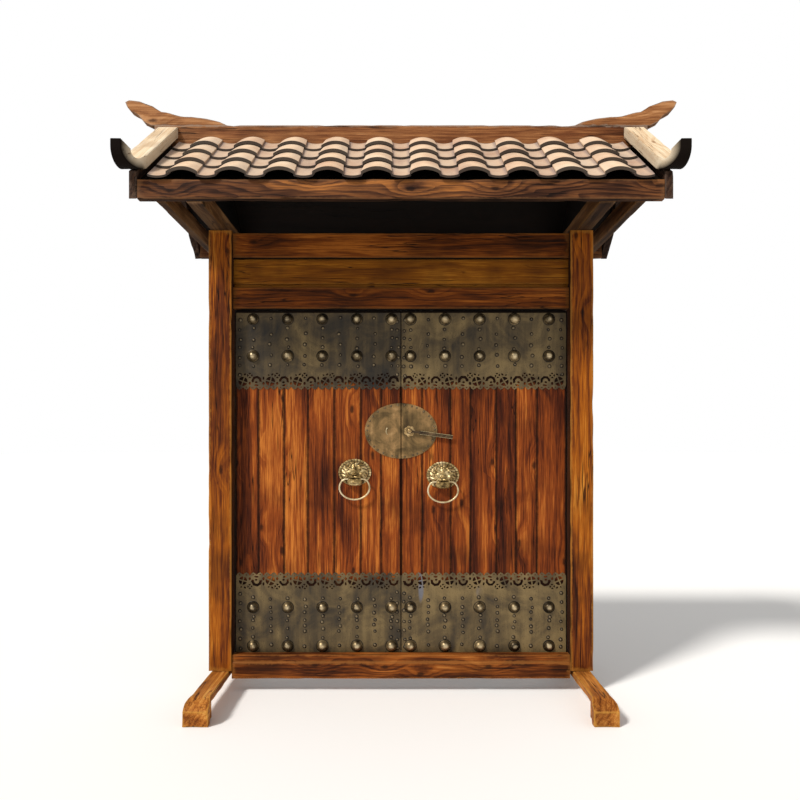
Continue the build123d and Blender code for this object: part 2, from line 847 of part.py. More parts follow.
# Tiles: hollow pans narrowed towards their tails and arched covers narrowed towards their heads,
# so that a cover's head lies between the tails of the next course's pans
cover_under = arc_points(cover_width / 2, cover_rise, cover_chords)
pan_under = [(u, pan_sag - h) for u, h in arc_points(pan_width / 2, pan_sag, pan_chords)]
lap_u = (tile_pitch - cover_width) / 2
(u_near, h_near), (u_far, h_far) = pan_under[1], pan_under[0]
lap_height = h_near + (h_far - h_near) * (lap_u - u_near) / (u_far - u_near)
cover_lift = lap_height + tile_thick + seat / cos(tile_angle)
eave_section = Plane(
    origin=(0, pan_tail_y, pan_tail_z), x_dir=(-1, 0, 0), z_dir=(0, cos(tile_angle), sin(tile_angle))
)
slope_plane = Plane(
    origin=(0, pan_tail_y, pan_tail_z), x_dir=(1, 0, 0), z_dir=(0, -sin(tile_angle), cos(tile_angle))
)


def tile(under, lift, tail_width, head_width):
    """One tile at the eave: a curved sheet run up the slope, then trimmed to its tapered plan."""
    lower = [(u, h + lift) for u, h in under]
    upper = [(u, h + tile_thick) for u, h in reversed(lower)]
    with BuildPart() as made:
        with BuildSketch(eave_section):
            Polygon(*lower, *upper, align=None)
        extrude(amount=tile_length)
        with BuildSketch(slope_plane):
            Polygon(
                (-tail_width / 2, 0),
                (tail_width / 2, 0),
                (head_width / 2, tile_length),
                (-head_width / 2, tile_length),
                align=None,
            )
        extrude(amount=tile_pitch, mode=Mode.INTERSECT)
    return made


def tile_field(one, columns):
    """The front slope's tiles of one kind, each course stepped up the slope, the top one cut plumb."""
    with BuildPart() as made:
        for course in range(tile_courses):
            run = course * course_pitch * cos(roof_angle)
            rise = course * course_pitch * sin(roof_angle)
            with Locations(*[(x, run, rise) for x in columns]):
                add(one.part)
        split(bisect_by=Plane.XZ.offset(ridge_face), keep=Keep.TOP)
    return made


pan = tile(pan_under, 0, pan_tail_width, pan_width)
pan_columns = [tile_pitch * (i - tile_columns / 2) for i in range(tile_columns + 1)]
pans = tile_field(pan, pan_columns)
save_front_and_rear(pans, "front_pan_tiles", "rear_pan_tiles")
cover = tile(cover_under, cover_lift, cover_width, cover_head_width)
cover_columns = [tile_pitch * (i + 0.5 - tile_columns / 2) for i in range(tile_columns)]
covers = tile_field(cover, cover_columns)
save_front_and_rear(covers, "front_cover_tiles", "rear_cover_tiles")
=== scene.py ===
import math
import random
from collections import namedtuple

import bmesh
import bpy
import numpy as np
from mathutils import Euler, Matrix, Vector, kdtree, noise


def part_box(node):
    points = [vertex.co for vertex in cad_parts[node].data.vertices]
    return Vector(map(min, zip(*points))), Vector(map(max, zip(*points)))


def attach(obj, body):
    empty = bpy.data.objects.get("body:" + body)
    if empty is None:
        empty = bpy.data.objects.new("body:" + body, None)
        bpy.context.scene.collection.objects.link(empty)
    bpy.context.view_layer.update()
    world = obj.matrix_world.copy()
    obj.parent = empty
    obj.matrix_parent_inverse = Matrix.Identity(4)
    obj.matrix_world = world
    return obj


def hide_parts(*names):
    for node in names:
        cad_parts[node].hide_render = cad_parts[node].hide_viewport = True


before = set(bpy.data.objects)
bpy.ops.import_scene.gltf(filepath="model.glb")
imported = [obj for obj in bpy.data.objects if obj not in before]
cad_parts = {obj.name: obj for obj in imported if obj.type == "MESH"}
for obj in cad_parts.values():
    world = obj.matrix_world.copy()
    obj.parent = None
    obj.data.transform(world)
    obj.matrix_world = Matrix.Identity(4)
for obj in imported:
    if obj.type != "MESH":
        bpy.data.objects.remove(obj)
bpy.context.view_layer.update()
print("frame loaded")

scene = bpy.context.scene
scene.view_settings.view_transform = "Standard"

# Node helpers


def paint(text):
    values = [int(text[i : i + 2], 16) / 255 for i in (0, 2, 4)]
    return tuple(v / 12.92 if v <= 0.04045 else ((v + 0.055) / 1.055) ** 2.4 for v in values) + (1.0,)


def put(tree, kind, inputs=None, **settings):
    made = tree.nodes.new(kind)
    for key, value in settings.items():
        setattr(made, key, value)
    for key, value in (inputs or {}).items():
        if isinstance(value, bpy.types.NodeSocket):
            tree.links.new(value, made.inputs[key])
        else:
            made.inputs[key].default_value = value
    return made


def maths(tree, operation, first, second=0.0, third=0.0, clamp=False):
    inputs = {0: first, 1: second, 2: third}
    return put(tree, "ShaderNodeMath", inputs, operation=operation, use_clamp=clamp).outputs[0]


def blendColour(tree, factor, first, second):
    return put(tree, "ShaderNodeMix", {0: factor, 6: first, 7: second}, data_type="RGBA").outputs[2]


def stained(tree, colour, mask, share, tone):
    return blendColour(tree, maths(tree, "MULTIPLY", mask, share), colour, tone)


def readAttribute(tree, name):
    return put(tree, "ShaderNodeAttribute", attribute_name=name).outputs["Fac"]


def ramp(tree, factor, stops):
    made = put(tree, "ShaderNodeValToRGB", {0: factor})
    points = made.color_ramp.elements
    while len(points) < len(stops):
        points.new(0.5)
    for point, (place, colour) in zip(points, stops):
        point.position = place
        point.color = colour
    return made.outputs[0]


def spread(tree, value, low, high, first=0.0, last=1.0):
    inputs = {"Value": value, "From Min": low, "From Max": high, "To Min": first, "To Max": last}
    return put(tree, "ShaderNodeMapRange", inputs, interpolation_type="SMOOTHSTEP").outputs[0]


def stretched(tree, vector, scale, offset=(0, 0, 0)):
    return put(tree, "ShaderNodeMapping", {"Vector": vector, "Scale": scale, "Location": offset}).outputs[0]


def noiseValue(tree, vector, scale, detail=3.0, rough=0.55, distort=0.0):
    inputs = {"Vector": vector, "Scale": scale, "Detail": detail, "Roughness": rough, "Distortion": distort}
    return put(tree, "ShaderNodeTexNoise", inputs).outputs[0]


def newGroup(name, inputs):
    tree = bpy.data.node_groups.new(name, "ShaderNodeTree")
    tree.interface.new_socket("Vector", in_out="INPUT", socket_type="NodeSocketVector")
    for label, value in inputs.items():
        made = tree.interface.new_socket(label, in_out="INPUT", socket_type="NodeSocketFloat")
        made.default_value = value
    return tree, tree.nodes.new("NodeGroupInput").outputs


def sendOut(tree, found):
    for label in found:
        tree.interface.new_socket(label, in_out="OUTPUT", socket_type="NodeSocketFloat")
    out = tree.nodes.new("NodeGroupOutput").inputs
    for label, value in found.items():
        tree.links.new(value, out[label])
    return tree


def timberGrain():
    inputs = {"lineCount": 40.0, "bend": 0.06, "streakScale": 40.0, "knotShare": 0.4, "crackWidth": 0.012}
    tree, given = newGroup("timberGrain", inputs)
    place = given["Vector"]
    across = put(tree, "ShaderNodeSeparateXYZ", {0: place}).outputs
    slanted = maths(tree, "MULTIPLY_ADD", across[1], 0.6, across[0])
    upright = maths(tree, "MULTIPLY", across[2], 0.45)
    knotPlace = put(tree, "ShaderNodeCombineXYZ", {0: slanted, 1: upright}).outputs[0]
    cells = put(tree, "ShaderNodeTexVoronoi", {"Vector": knotPlace, "Scale": 5.5}, voronoi_dimensions="2D")
    chance = put(tree, "ShaderNodeSeparateColor", {0: cells.outputs["Color"]}).outputs[0]
    chosen = maths(tree, "LESS_THAN", chance, given["knotShare"])
    rough = noiseValue(tree, place, 38.0, 2.0)
    ragged = maths(tree, "MULTIPLY_ADD", rough, 0.07, cells.outputs["Distance"])
    knot = maths(tree, "MULTIPLY", spread(tree, ragged, 0.06, 0.13, 1.0, 0.0), chosen)
    pull = maths(tree, "MULTIPLY", spread(tree, ragged, 0.04, 0.5, 1.0, 0.0), chosen)
    warp = noiseValue(tree, stretched(tree, place, (1, 1, 0.2)), 4.5, 3.0, 0.5, 0.4)
    bent = maths(tree, "MULTIPLY_ADD", warp, given["bend"], slanted)
    bent = maths(tree, "MULTIPLY_ADD", pull, 0.05, bent)
    saw = maths(tree, "FRACT", maths(tree, "MULTIPLY", bent, given["lineCount"]))
    lines = maths(tree, "MULTIPLY", spread(tree, saw, 0.25, 0.93), spread(tree, saw, 0.94, 1.0, 1.0, 0.0))
    flow = put(tree, "ShaderNodeCombineXYZ", {0: bent, 1: across[1], 2: across[2]}).outputs[0]
    streaks = noiseValue(tree, stretched(tree, flow, (1, 1, 0.05)), given["streakScale"], 4.0, 0.56, 0.15)
    fibres = noiseValue(tree, stretched(tree, place, (1, 1, 0.03)), 190.0, 3.0, 0.65)
    zones = noiseValue(tree, stretched(tree, place, (1, 1, 0.16)), 8.0, 5.0, 0.6, 0.7)
    line = noiseValue(tree, stretched(tree, place, (1, 1, 0.05)), 15.0, 3.0, 0.6, 0.3)
    near = maths(tree, "ABSOLUTE", maths(tree, "SUBTRACT", line, 0.5))
    where = spread(tree, noiseValue(tree, stretched(tree, place, (1, 1, 0.3)), 3.4, 1.0), 0.47, 0.58)
    cracks = maths(tree, "MULTIPLY", spread(tree, near, 0.0, given["crackWidth"], 1.0, 0.0), where)
    found = {"lines": lines, "streaks": streaks, "fibres": fibres}
    return sendOut(tree, found | {"cracks": cracks, "knots": knot, "zones": zones})


def edgeWear():
    tree, given = newGroup("edgeWear", {})
    patches = noiseValue(tree, given["Vector"], 26.0, 4.0, 0.65)
    large = noiseValue(tree, given["Vector"], 3.2, 3.0)
    strength = maths(tree, "ADD", readAttribute(tree, "wear"), maths(tree, "SUBTRACT", patches, 0.62))
    worn, grime = spread(tree, strength, 0.28, 0.7), spread(tree, large, 0.45, 0.72)
    return sendOut(tree, {"worn": worn, "grime": grime})


def agedMetal():
    tree, given = newGroup("agedMetal", {"patchScale": 5.0})
    place = given["Vector"]
    patches = noiseValue(tree, place, given["patchScale"], 6.0, 0.62, 0.8)
    specks = noiseValue(tree, place, 140.0, 3.0, 0.7)
    dents = noiseValue(tree, place, 22.0, 2.0, 0.5)
    streaks = noiseValue(tree, stretched(tree, place, (1, 1, 0.12)), 24.0, 4.0, 0.6)
    return sendOut(tree, {"patches": patches, "specks": specks, "dents": dents, "streaks": streaks})


groups = {"grain": timberGrain(), "wear": edgeWear(), "metal": agedMetal()}


def newMaterial(name):
    material = bpy.data.materials.new(name)
    material.use_nodes = True
    tree = material.node_tree
    surface = tree.nodes["Principled BSDF"]
    place = tree.nodes.new("ShaderNodeTexCoord").outputs["Object"]
    return material, tree, surface, place


def useGroup(tree, which, inputs):
    return put(tree, "ShaderNodeGroup", inputs, node_tree=groups[which]).outputs


def roughen(tree, surface, strength, distance, height):
    inputs = {"Strength": strength, "Distance": distance, "Height": height}
    tree.links.new(put(tree, "ShaderNodeBump", inputs).outputs[0], surface.inputs["Normal"])


# Wood finishes

grainTurns = {
    "along": (0, 0, 0),
    "across": (0, math.pi / 2, 0),
    "deep": (math.pi / 2, 0, 0),
    "slope": (math.radians(53.2), 0, 0),
}
# tones run from dark to pale, and lines hold the growth lines' count, bend and weight
woodLook = namedtuple("woodLook", "turn tones worn lines streak knots crack")
woods = {
    "post": woodLook("along", "200c04 602c0e 9e5611 c98532", "a26c2a", (30, 0.1, 0.05), 20, 0.35, 0.018),
    "beam": woodLook("across", "150803 3a1a07 6a340c 9a571c", "70451c", (32, 0.14, 0.06), 20, 0.5, 0.012),
    "sill": woodLook("across", "1c0b04 4e240b 8b4a18 bf7c3a", "8f5a28", (36, 0.1, 0.06), 20, 0.45, 0.012),
    "eave": woodLook("across", "150a07 3d2316 6d4326 a86a34", "704d30", (34, 0.26, 0.11), 14, 0.6, 0.01),
    # the panel's tones are its own ochre darkened part way by painted shade
    "panel": woodLook("across", "2c1404 5a2f06 794509 a0661a", "7a4d18", (18, 0.12, 0.04), 12, 0.4, 0.014),
    # the door's edge tone is near black: painted shade along the plank edges, with the same dark tone in
    # random patches
    "door": woodLook("along", "140704 4a1e0c 874015 c4752f", "120805", (22, 0.09, 0.045), 19, 0.6, 0.012),
    "back": woodLook("along", "1f1009 482812 6d421e 93602f", "6a4724", (28, 0.08, 0.05), 26, 0.4, 0.012),
    "rail": woodLook("across", "1f1009 482812 6d421e 93602f", "6a4724", (28, 0.09, 0.05), 26, 0.4, 0.012),
    # near-black tones: painted shade for the decks and gable boards under the roof
    "shadeSoffit": woodLook("across", "030201 070403 0d0805 160e08", "120b07", (24, 0.09, 0.08), 22, 0.3, 0.01),
    "ridge": woodLook("across", "381c0e 734426 a06c42 c69365", "95877a", (40, 0.1, 0.05), 22, 0.3, 0.022),
    # the arms' and side beams' tones are their own brown darkened by painted shade
    "arm": woodLook("deep", "160b05 3c2311 654426 906a44", "7a5733", (30, 0.08, 0.05), 26, 0.3, 0.012),
    "foot": woodLook("deep", "341606 804416 b87430 d9a257", "bf8a3c", (34, 0.08, 0.06), 20, 0.3, 0.014),
    "barge": woodLook("slope", "100a07 2b1d17 453023 655040", "54443a", (30, 0.06, 0.1), 26, 0.3, 0.012),
    "verge": woodLook("slope", "9a7555 cfae88 e9d2b0 f6e8d0", "efe0c6", (24, 0.06, 0.05), 22, 0.2, 0.012),
}
# near-black tone of the painted shade that the paintedShade attribute lays over the wood
shadeTone = paint("120c08")


def woodMaterial(name):
    look = woods[name]
    material, tree, surface, place = newMaterial(name + "Wood")
    own, paintedShade = readAttribute(tree, "plank"), readAttribute(tree, "paintedShade")
    offsets = {i: maths(tree, "MULTIPLY", own, factor) for i, factor in enumerate((13.7, 7.3, 5.1))}
    shift = put(tree, "ShaderNodeCombineXYZ", offsets).outputs[0]
    turned = put(tree, "ShaderNodeMapping", {"Vector": place, "Rotation": grainTurns[look.turn]}).outputs[0]
    moved = put(tree, "ShaderNodeVectorMath", {0: turned, 1: shift}, operation="ADD").outputs[0]
    lineCount, bend, lineWeight = look.lines
    inputs = {"Vector": moved, "lineCount": lineCount, "bend": bend, "streakScale": look.streak}
    grain = useGroup(tree, "grain", inputs | {"knotShare": look.knots, "crackWidth": look.crack})
    wear = useGroup(tree, "wear", {"Vector": place})
    dark, middle, light, pale = (paint(tone) for tone in look.tones.split())
    broad = noiseValue(tree, stretched(tree, moved, (1, 1, 0.5)), 3.1, 2.0, 0.5)
    mixed = maths(tree, "MULTIPLY_ADD", broad, 0.3, maths(tree, "MULTIPLY", grain["zones"], 0.42))
    shares = ((grain["streaks"], 0.4), (grain["fibres"], 0.44), (own, 0.12), (grain["lines"], -lineWeight))
    for layer, share in shares:
        mixed = maths(tree, "MULTIPLY_ADD", layer, share, mixed)
    colour = ramp(tree, mixed, [(0.6, dark), (0.73, middle), (0.86, light), (0.99, pale)])
    colour = stained(tree, colour, wear["grime"], 0.45, dark)
    # edge tone: wear on most timbers, painted shade on the door
    colour = stained(tree, colour, wear["worn"], 0.6, paint(look.worn))
    colour = stained(tree, colour, grain["knots"], 0.8, dark)
    colour = stained(tree, colour, grain["cracks"], 0.9, blendColour(tree, 0.5, dark, (0, 0, 0, 1)))
    # painted shade: the wood is blended towards the near-black tone where its paintedShade attribute is high
    tree.links.new(blendColour(tree, paintedShade, colour, shadeTone), surface.inputs["Base Color"])
    rough = maths(tree, "MULTIPLY_ADD", grain["fibres"], 0.3, 0.42)
    tree.links.new(maths(tree, "MULTIPLY_ADD", paintedShade, 0.5, rough, clamp=True), surface.inputs["Roughness"])
    height = maths(tree, "MULTIPLY", grain["fibres"], 0.8)
    height = maths(tree, "MULTIPLY_ADD", grain["lines"], 0.25, height)
    height = maths(tree, "SUBTRACT", height, maths(tree, "MULTIPLY", grain["cracks"], 1.8))
    roughen(tree, surface, 0.6, 0.0018, height)
    surface.inputs["Specular IOR Level"].default_value = 0.1
    return material


# Metal and tile finishes

# tones run from dark to pale, patch is the scale of the blotches, and smear the tone of pale slanting rubs
metalLook = namedtuple("metalLook", "tones speck worn metallic rough patch smear", defaults=[None])
metals = {
    "band": metalLook("181209 362b18 564629 7a6640", "120d07", "8d7853", 0.2, 0.55, 4.5, "666c7c"),
    "plate": metalLook("433319 6d5632 967549 bd996a", "332817", "d6bf92", 0.5, 0.45, 9.0),
    "stud": metalLook("18120b 3d3221 6a5a3f a8926c", "0f0b06", "dbc7a0", 0.7, 0.36, 14.0),
    "mask": metalLook("584524 9c8250 dac390 f8ecca", "241a09", "fff4d8", 0.6, 0.34, 18.0),
    "ring": metalLook("a18d68 c8b48b dccba6 ece0c2", "6f5c3c", "f6eed8", 0.6, 0.36, 22.0),
    "latch": metalLook("2a2015 4c3c28 705a3e 98805a", "20170b", "e0cb9a", 0.6, 0.4, 20.0),
    "gilt": metalLook("6e5630 b39463 e0c69a f6e8c4", "2c1e08", "fff0bf", 0.65, 0.32, 26.0),
    "iron": metalLook("0f0c08 261f15 453a29 75664b", "0a0704", "8f7d60", 0.5, 0.5, 24.0),
}


def metalMaterial(name):
    look = metals[name]
    material, tree, surface, place = newMaterial(name + "Metal")
    aged = useGroup(tree, "metal", {"Vector": place, "patchScale": look.patch})
    wear = useGroup(tree, "wear", {"Vector": place})
    own, hollow = readAttribute(tree, "tone"), readAttribute(tree, "crease")
    clouded = maths(tree, "MULTIPLY", aged["patches"], 0.75)
    mixed = maths(tree, "ADD", clouded, maths(tree, "MULTIPLY", aged["streaks"], 0.3))
    mixed = maths(tree, "ADD", mixed, maths(tree, "MULTIPLY", own, 0.12))
    colour = ramp(tree, mixed, list(zip((0.38, 0.5, 0.61, 0.76), map(paint, look.tones.split()))))
    colour = stained(tree, colour, spread(tree, aged["specks"], 0.57, 0.68), 0.6, paint(look.speck))
    colour = stained(tree, colour, hollow, 0.85, paint(look.speck))
    colour = stained(tree, colour, wear["worn"], 0.8, paint(look.worn))
    if look.smear:
        inputs = {"Vector": place, "Rotation": (0, 0.8, 0), "Scale": (1, 1, 0.3)}
        slanting = put(tree, "ShaderNodeMapping", inputs).outputs[0]
        rubbed = spread(tree, noiseValue(tree, slanting, 7.5, 1.5, 0.4), 0.7, 0.76)
        colour = stained(tree, colour, rubbed, 0.7, paint(look.smear))
    tree.links.new(colour, surface.inputs["Base Color"])
    rough = maths(tree, "MULTIPLY_ADD", aged["patches"], 0.35, look.rough - 0.15)
    tree.links.new(rough, surface.inputs["Roughness"])
    surface.inputs["Metallic"].default_value = look.metallic
    roughen(tree, surface, 0.4, 0.0012, maths(tree, "MULTIPLY_ADD", aged["specks"], 0.25, aged["dents"]))
    return material


tileLook = {
    "tones": ("b08970", "cfa98a", "e6c8a8", "f3dfc4"),
    # edge is the near-black tone of painted shade on tile tails, undersides and laps
    "edge": "150c08",
    # stain is the tone of real stains and also of the tiles' dirt and painted shade
    "stain": "75676a",
    "rough": 0.8,
    "specular": 0.3,
}


def tileMaterial():
    material, tree, surface, place = newMaterial("firedClay")
    own, paintedShadeRim, dirtAndShade = (readAttribute(tree, name) for name in ("tone", "rim", "dirtAndShade"))
    cloud = noiseValue(tree, place, 9.0, 4.0, 0.6)
    fine = noiseValue(tree, place, 180.0, 3.0, 0.7)
    stain = spread(tree, noiseValue(tree, stretched(tree, place, (1, 0.35, 0.35)), 6.0, 4.0), 0.5, 0.75)
    mixed = maths(tree, "MULTIPLY_ADD", own, 0.2, maths(tree, "MULTIPLY_ADD", cloud, 0.5, 0.14))
    mixed = maths(tree, "MULTIPLY_ADD", fine, 0.18, mixed)
    colour = ramp(tree, mixed, list(zip((0.25, 0.45, 0.62, 0.85), map(paint, tileLook["tones"]))))
    colour = stained(tree, colour, stain, 0.3, paint(tileLook["stain"]))
    # dirt and painted shade, patchy, in the stain tone
    patchyDirtAndShade = maths(tree, "MULTIPLY", dirtAndShade, maths(tree, "MULTIPLY_ADD", cloud, 0.9, 0.5), clamp=True)
    colour = stained(tree, colour, patchyDirtAndShade, 0.85, paint(tileLook["stain"]))
    # painted shade on tails, undersides and laps
    colour = stained(tree, colour, paintedShadeRim, 0.94, paint(tileLook["edge"]))
    tree.links.new(colour, surface.inputs["Base Color"])
    surface.inputs["Roughness"].default_value = tileLook["rough"]
    surface.inputs["Specular IOR Level"].default_value = tileLook["specular"]
    roughen(tree, surface, 0.5, 0.0012, maths(tree, "ADD", fine, cloud))
    return material


finishes = {name + "Wood": woodMaterial(name) for name in woods}
finishes.update({name + "Metal": metalMaterial(name) for name in metals})
finishes["clay"] = tileMaterial()
print("finishes made")

# Mesh helpers


def showPiece(name, mesh, finish, body, nodes=(), smooth=35):
    piece = bpy.data.objects.new(name, mesh)
    scene.collection.objects.link(piece)
    mesh.materials.clear()
    mesh.materials.append(finishes[finish])
    mesh.polygons.foreach_set("material_index", [0] * len(mesh.polygons))
    mesh.shade_smooth()
    mesh.set_sharp_from_angle(angle=math.radians(smooth))
    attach(piece, body)
    if nodes:
        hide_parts(*nodes)
    return piece


def writeAttribute(mesh, name, values):
    layer = mesh.attributes.get(name) or mesh.attributes.new(name, "FLOAT", "POINT")
    layer.data.foreach_set("value", np.array(np.broadcast_to(values, len(mesh.vertices)), np.float32))


def opened(mesh):
    work = bmesh.new()
    work.from_mesh(mesh)
    return work


def closed(work, mesh):
    work.to_mesh(mesh)
    work.free()
    return mesh


def newMesh(work, name):
    return closed(work, bpy.data.meshes.new(name))


def skinRows(work, rows):
    for lower, upper in zip(rows, rows[1:]):
        for i in range(len(lower)):
            work.faces.new((lower[i - 1], lower[i], upper[i], upper[i - 1]))


def sliceOff(work, place, normal):
    everything = [*work.verts, *work.edges, *work.faces]
    cut = bmesh.ops.bisect_plane(
        work, geom=everything, dist=1e-6, plane_co=place, plane_no=normal, clear_outer=True
    )
    rim = [e for e in cut["geom_cut"] if isinstance(e, bmesh.types.BMEdge)]
    bmesh.ops.holes_fill(work, edges=rim, sides=0)


def sharpEdges(work, angle):
    return [e for e in work.edges if len(e.link_faces) == 2 and e.calc_face_angle(0) > math.radians(angle)]


def cutGrid(work, cells):
    points = np.array([v.co for v in work.verts])
    low, high = points.min(0), points.max(0)
    for axis, cell in enumerate(cells):
        count = max(1, round((high[axis] - low[axis]) / cell))
        normal = Vector((0, 0, 0))
        normal[axis] = 1
        for i in range(1, count):
            place = Vector((0, 0, 0))
            place[axis] = low[axis] + (high[axis] - low[axis]) * i / count
            everything = list(work.verts) + list(work.edges) + list(work.faces)
            bmesh.ops.bisect_plane(work, geom=everything, dist=1e-6, plane_co=place, plane_no=normal)


def edgeTree(work, angle=30, step=0.006):
    places = []
    for edge in sharpEdges(work, angle):
        start, end = edge.verts[0].co, edge.verts[1].co
        count = max(1, int((end - start).length / step))
        places += [start.lerp(end, i / count) for i in range(count + 1)]
    tree = kdtree.KDTree(len(places))
    for i, place in enumerate(places):
        tree.insert(place, i)
    tree.balance()
    return tree


def hewnMesh(name, source, arris, cells, wander, chip, seed):
    work = opened(source)
    bmesh.ops.remove_doubles(work, verts=work.verts, dist=1e-5)
    bmesh.ops.dissolve_limit(work, angle_limit=math.radians(1), verts=work.verts, edges=work.edges)
    sharp = sharpEdges(work, 30)
    edges = edgeTree(work)
    if arris:
        bmesh.ops.bevel(
            work, geom=sharp, offset=arris, segments=2, profile=0.5, affect="EDGES", clamp_overlap=True
        )
    cutGrid(work, cells)
    return shapeTimber(name, work, edges, wander, chip, seed)


hewing = {"edgeReach": 0.012, "slow": 3.1, "quick": 17.0, "quickShare": 0.4, "bites": 9.0, "unbitten": 0.05}


def shapeTimber(name, work, edges, wander, chip, seed, share=(1, 1, 1)):
    shift = Vector((seed * 3.1, seed * 1.7, seed * 2.3))
    work.normal_update()
    wears = []
    for vert in work.verts:
        near = math.exp(-edges.find(vert.co)[2] / hewing["edgeReach"])
        drift = 0.5 + 0.5 * noise.noise(vert.co * hewing["slow"] + shift)
        fine = 0.5 + 0.5 * noise.noise(vert.co * hewing["quick"] + shift)
        bite = max(0.0, noise.noise(vert.co * hewing["bites"] - shift) - hewing["unbitten"]) * near
        wears.append((near, drift * wander + fine * wander * hewing["quickShare"] + bite * chip))
    for vert, (near, depth) in zip(work.verts, wears):
        vert.co -= Vector([vert.normal[i] * share[i] for i in range(3)]) * depth
    mesh = newMesh(work, name)
    writeAttribute(mesh, "wear", [w[0] for w in wears])
    return mesh


# cells are the grid that a timber is cut into, wander its unevenness and chip the bites along its edges
timberLook = namedtuple("timberLook", "nodes slot wood cells arris wander chip body", defaults=["frame"])
timbers = (
    timberLook("right_post left_post", "post_wood", "post", (0.02, 0.02, 0.045), 0.0015, 0.002, 0.008),
    timberLook("right_foot left_foot", "post_wood", "foot", (0.02, 0.03, 0.02), 0.003, 0.002, 0.008),
    timberLook("threshold", "beam_wood", "sill", (0.05, 0.016, 0.016), 0.0015, 0.0015, 0.008),
    timberLook(
        "lower_lintel upper_lintel", "beam_wood", "beam", (0.05, 0.016, 0.016), 0.0012, 0.0015, 0.006
    ),
    timberLook("transom_panel", "panel_wood", "panel", (0.05, 0.02, 0.016), 0.0025, 0.0012, 0.004),
    timberLook("socket_rail", "beam_wood", "rail", (0.06, 0.02, 0.02), 0.002, 0.001, 0.004),
    timberLook(
        "right_pillow_block left_pillow_block", "beam_wood", "rail", (0.02, 0.02, 0.02), 0.002, 0.001, 0.004
    ),
    timberLook(
        "front_eave_beam rear_eave_beam", "eave_wood", "eave", (0.05, 0.015, 0.015), 0.0012, 0.002, 0.009
    ),
    timberLook("ridge_beam", "roof_wood", "ridge", (0.04, 0.02, 0.02), 0.0015, 0.002, 0.014),
    timberLook(
        "right_side_beam left_side_beam right_roof_arm left_roof_arm",
        "roof_wood", "arm", (0.02, 0.05, 0.02), 0.0012, 0.0015, 0.006,
    ),
    timberLook(
        "right_gable_board left_gable_board", "roof_wood", "shadeSoffit", (0.03, 0.04, 0.03), 0.002, 0.0015, 0.004
    ),
    timberLook(
        "right_barge_board left_barge_board", "roof_wood", "barge", (0.02, 0.03, 0.03), 0.003, 0.002, 0.01
    ),
    timberLook("front_deck rear_deck", "roof_wood", "shadeSoffit", (0.12, 0.08, 0.08), 0.0, 0.0008, 0.0),
    timberLook(
        "right_pivot_stile left_pivot_stile",
        "back_wood", "back", (0.03, 0.03, 0.06), 0.002, 0.001, 0.003, "leaf",
    ),
    timberLook(
        "right_battens left_battens", "back_wood", "rail", (0.05, 0.02, 0.02), 0.002, 0.001, 0.004, "leaf"
    ),
)
# painted shade on each timber's downward faces, by how strongly they are darkened
undersideShade = {
    "lintel": 1.0,
    "socket_rail": 1.0,
    "eave_beam": 0.7,
    "deck": 0.5,
    "barge": 0.6,
    "arm": 0.7,
    "side_beam": 0.7,
}
postShade = {"share": 0.8, "front": -0.066}  # painted shade on the posts' inner faces, behind their fronts


# painted shade: downward faces, the posts' inner faces and the socket rail's front face are darkened
def timberShade(node, mesh):
    under = max([share for part, share in undersideShade.items() if part in node], default=0.0)
    inner = postShade["share"] if "post" in node else 0.0
    values = []
    for vert in mesh.vertices:
        facing = 0.0
        if vert.co.y > postShade["front"]:
            facing = max(0.0, -vert.normal.x * math.copysign(1, vert.co.x))
        front = max(0.0, -vert.normal.y) if node == "socket_rail" else 0.0
        values.append(max(under * max(0.0, -vert.normal.z - 0.2) * 1.25, inner * facing, front))
    return values


# how far a timber's ends run into its neighbours, along X and Z, so that no light shows between them
lets = {
    "socket_rail": (0.012, 0),
    "threshold": (0.003, 0),
    "lower_lintel": (0.003, 0),
    "upper_lintel": (0.003, 0),
    "transom_panel": (0.003, 0.004),
}
endReach = 0.004  # what lies closer to a timber's end than this moves with it


def letIn(mesh, box, amounts):
    low, high = box
    for vert in mesh.vertices:
        for axis, amount in zip((0, 2), amounts):
            if vert.co[axis] > high[axis] - endReach:
                vert.co[axis] += amount
            elif vert.co[axis] < low[axis] + endReach:
                vert.co[axis] -= amount


picker = random.Random(4)
seed = 0
for look in timbers:
    for node in look.nodes.split():
        seed += 1
        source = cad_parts[node].data
        mesh = hewnMesh(node + ".hewn", source, look.arris, look.cells, look.wander, look.chip, seed)
        letIn(mesh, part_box(node), lets.get(node, (0, 0)))
        writeAttribute(mesh, "plank", picker.random())
        writeAttribute(mesh, "paintedShade", timberShade(node, mesh))
        body = node.split("_")[0] + "_leaf" if look.body == "leaf" else look.body
        showPiece(node + ".hewn", mesh, look.wood + "Wood", body, [node])
print("timbers hewn")

# Door planks

planks = {
    "count": 7,
    "spread": 0.22,
    "lap": 0.001,
    "arris": 0.0013,
    "cells": (0.014, 0.03, 0.04),
    "wander": 0.0012,
    "chip": 0.003,
    "meeting": -0.0003,  # how far the backs' edges stay from the middle
    "back": 0.01,  # how thick the back part is that closes the meeting gap
    "head": 0.015,  # how far the planks stand above the CAD's
    "inset": 0.0006,
}
# painted shade on the door planks: behind the pierced bands, in the gaps between planks, on the leaves'
# outer edges and on the tops that stand above the bands
plankShade = {
    "behind": 0.95,
    "bandMargin": 0.02,
    "joint": 0.75,
    "jointReach": 0.0035,
    "endReach": 0.006,
}


def boxMesh(low, high):
    work = bmesh.new()
    bmesh.ops.create_cube(work, size=1)
    middle, size = (low + high) / 2, high - low
    for vert in work.verts:
        vert.co = Vector([middle[i] + vert.co[i] * size[i] for i in range(3)])
    return work


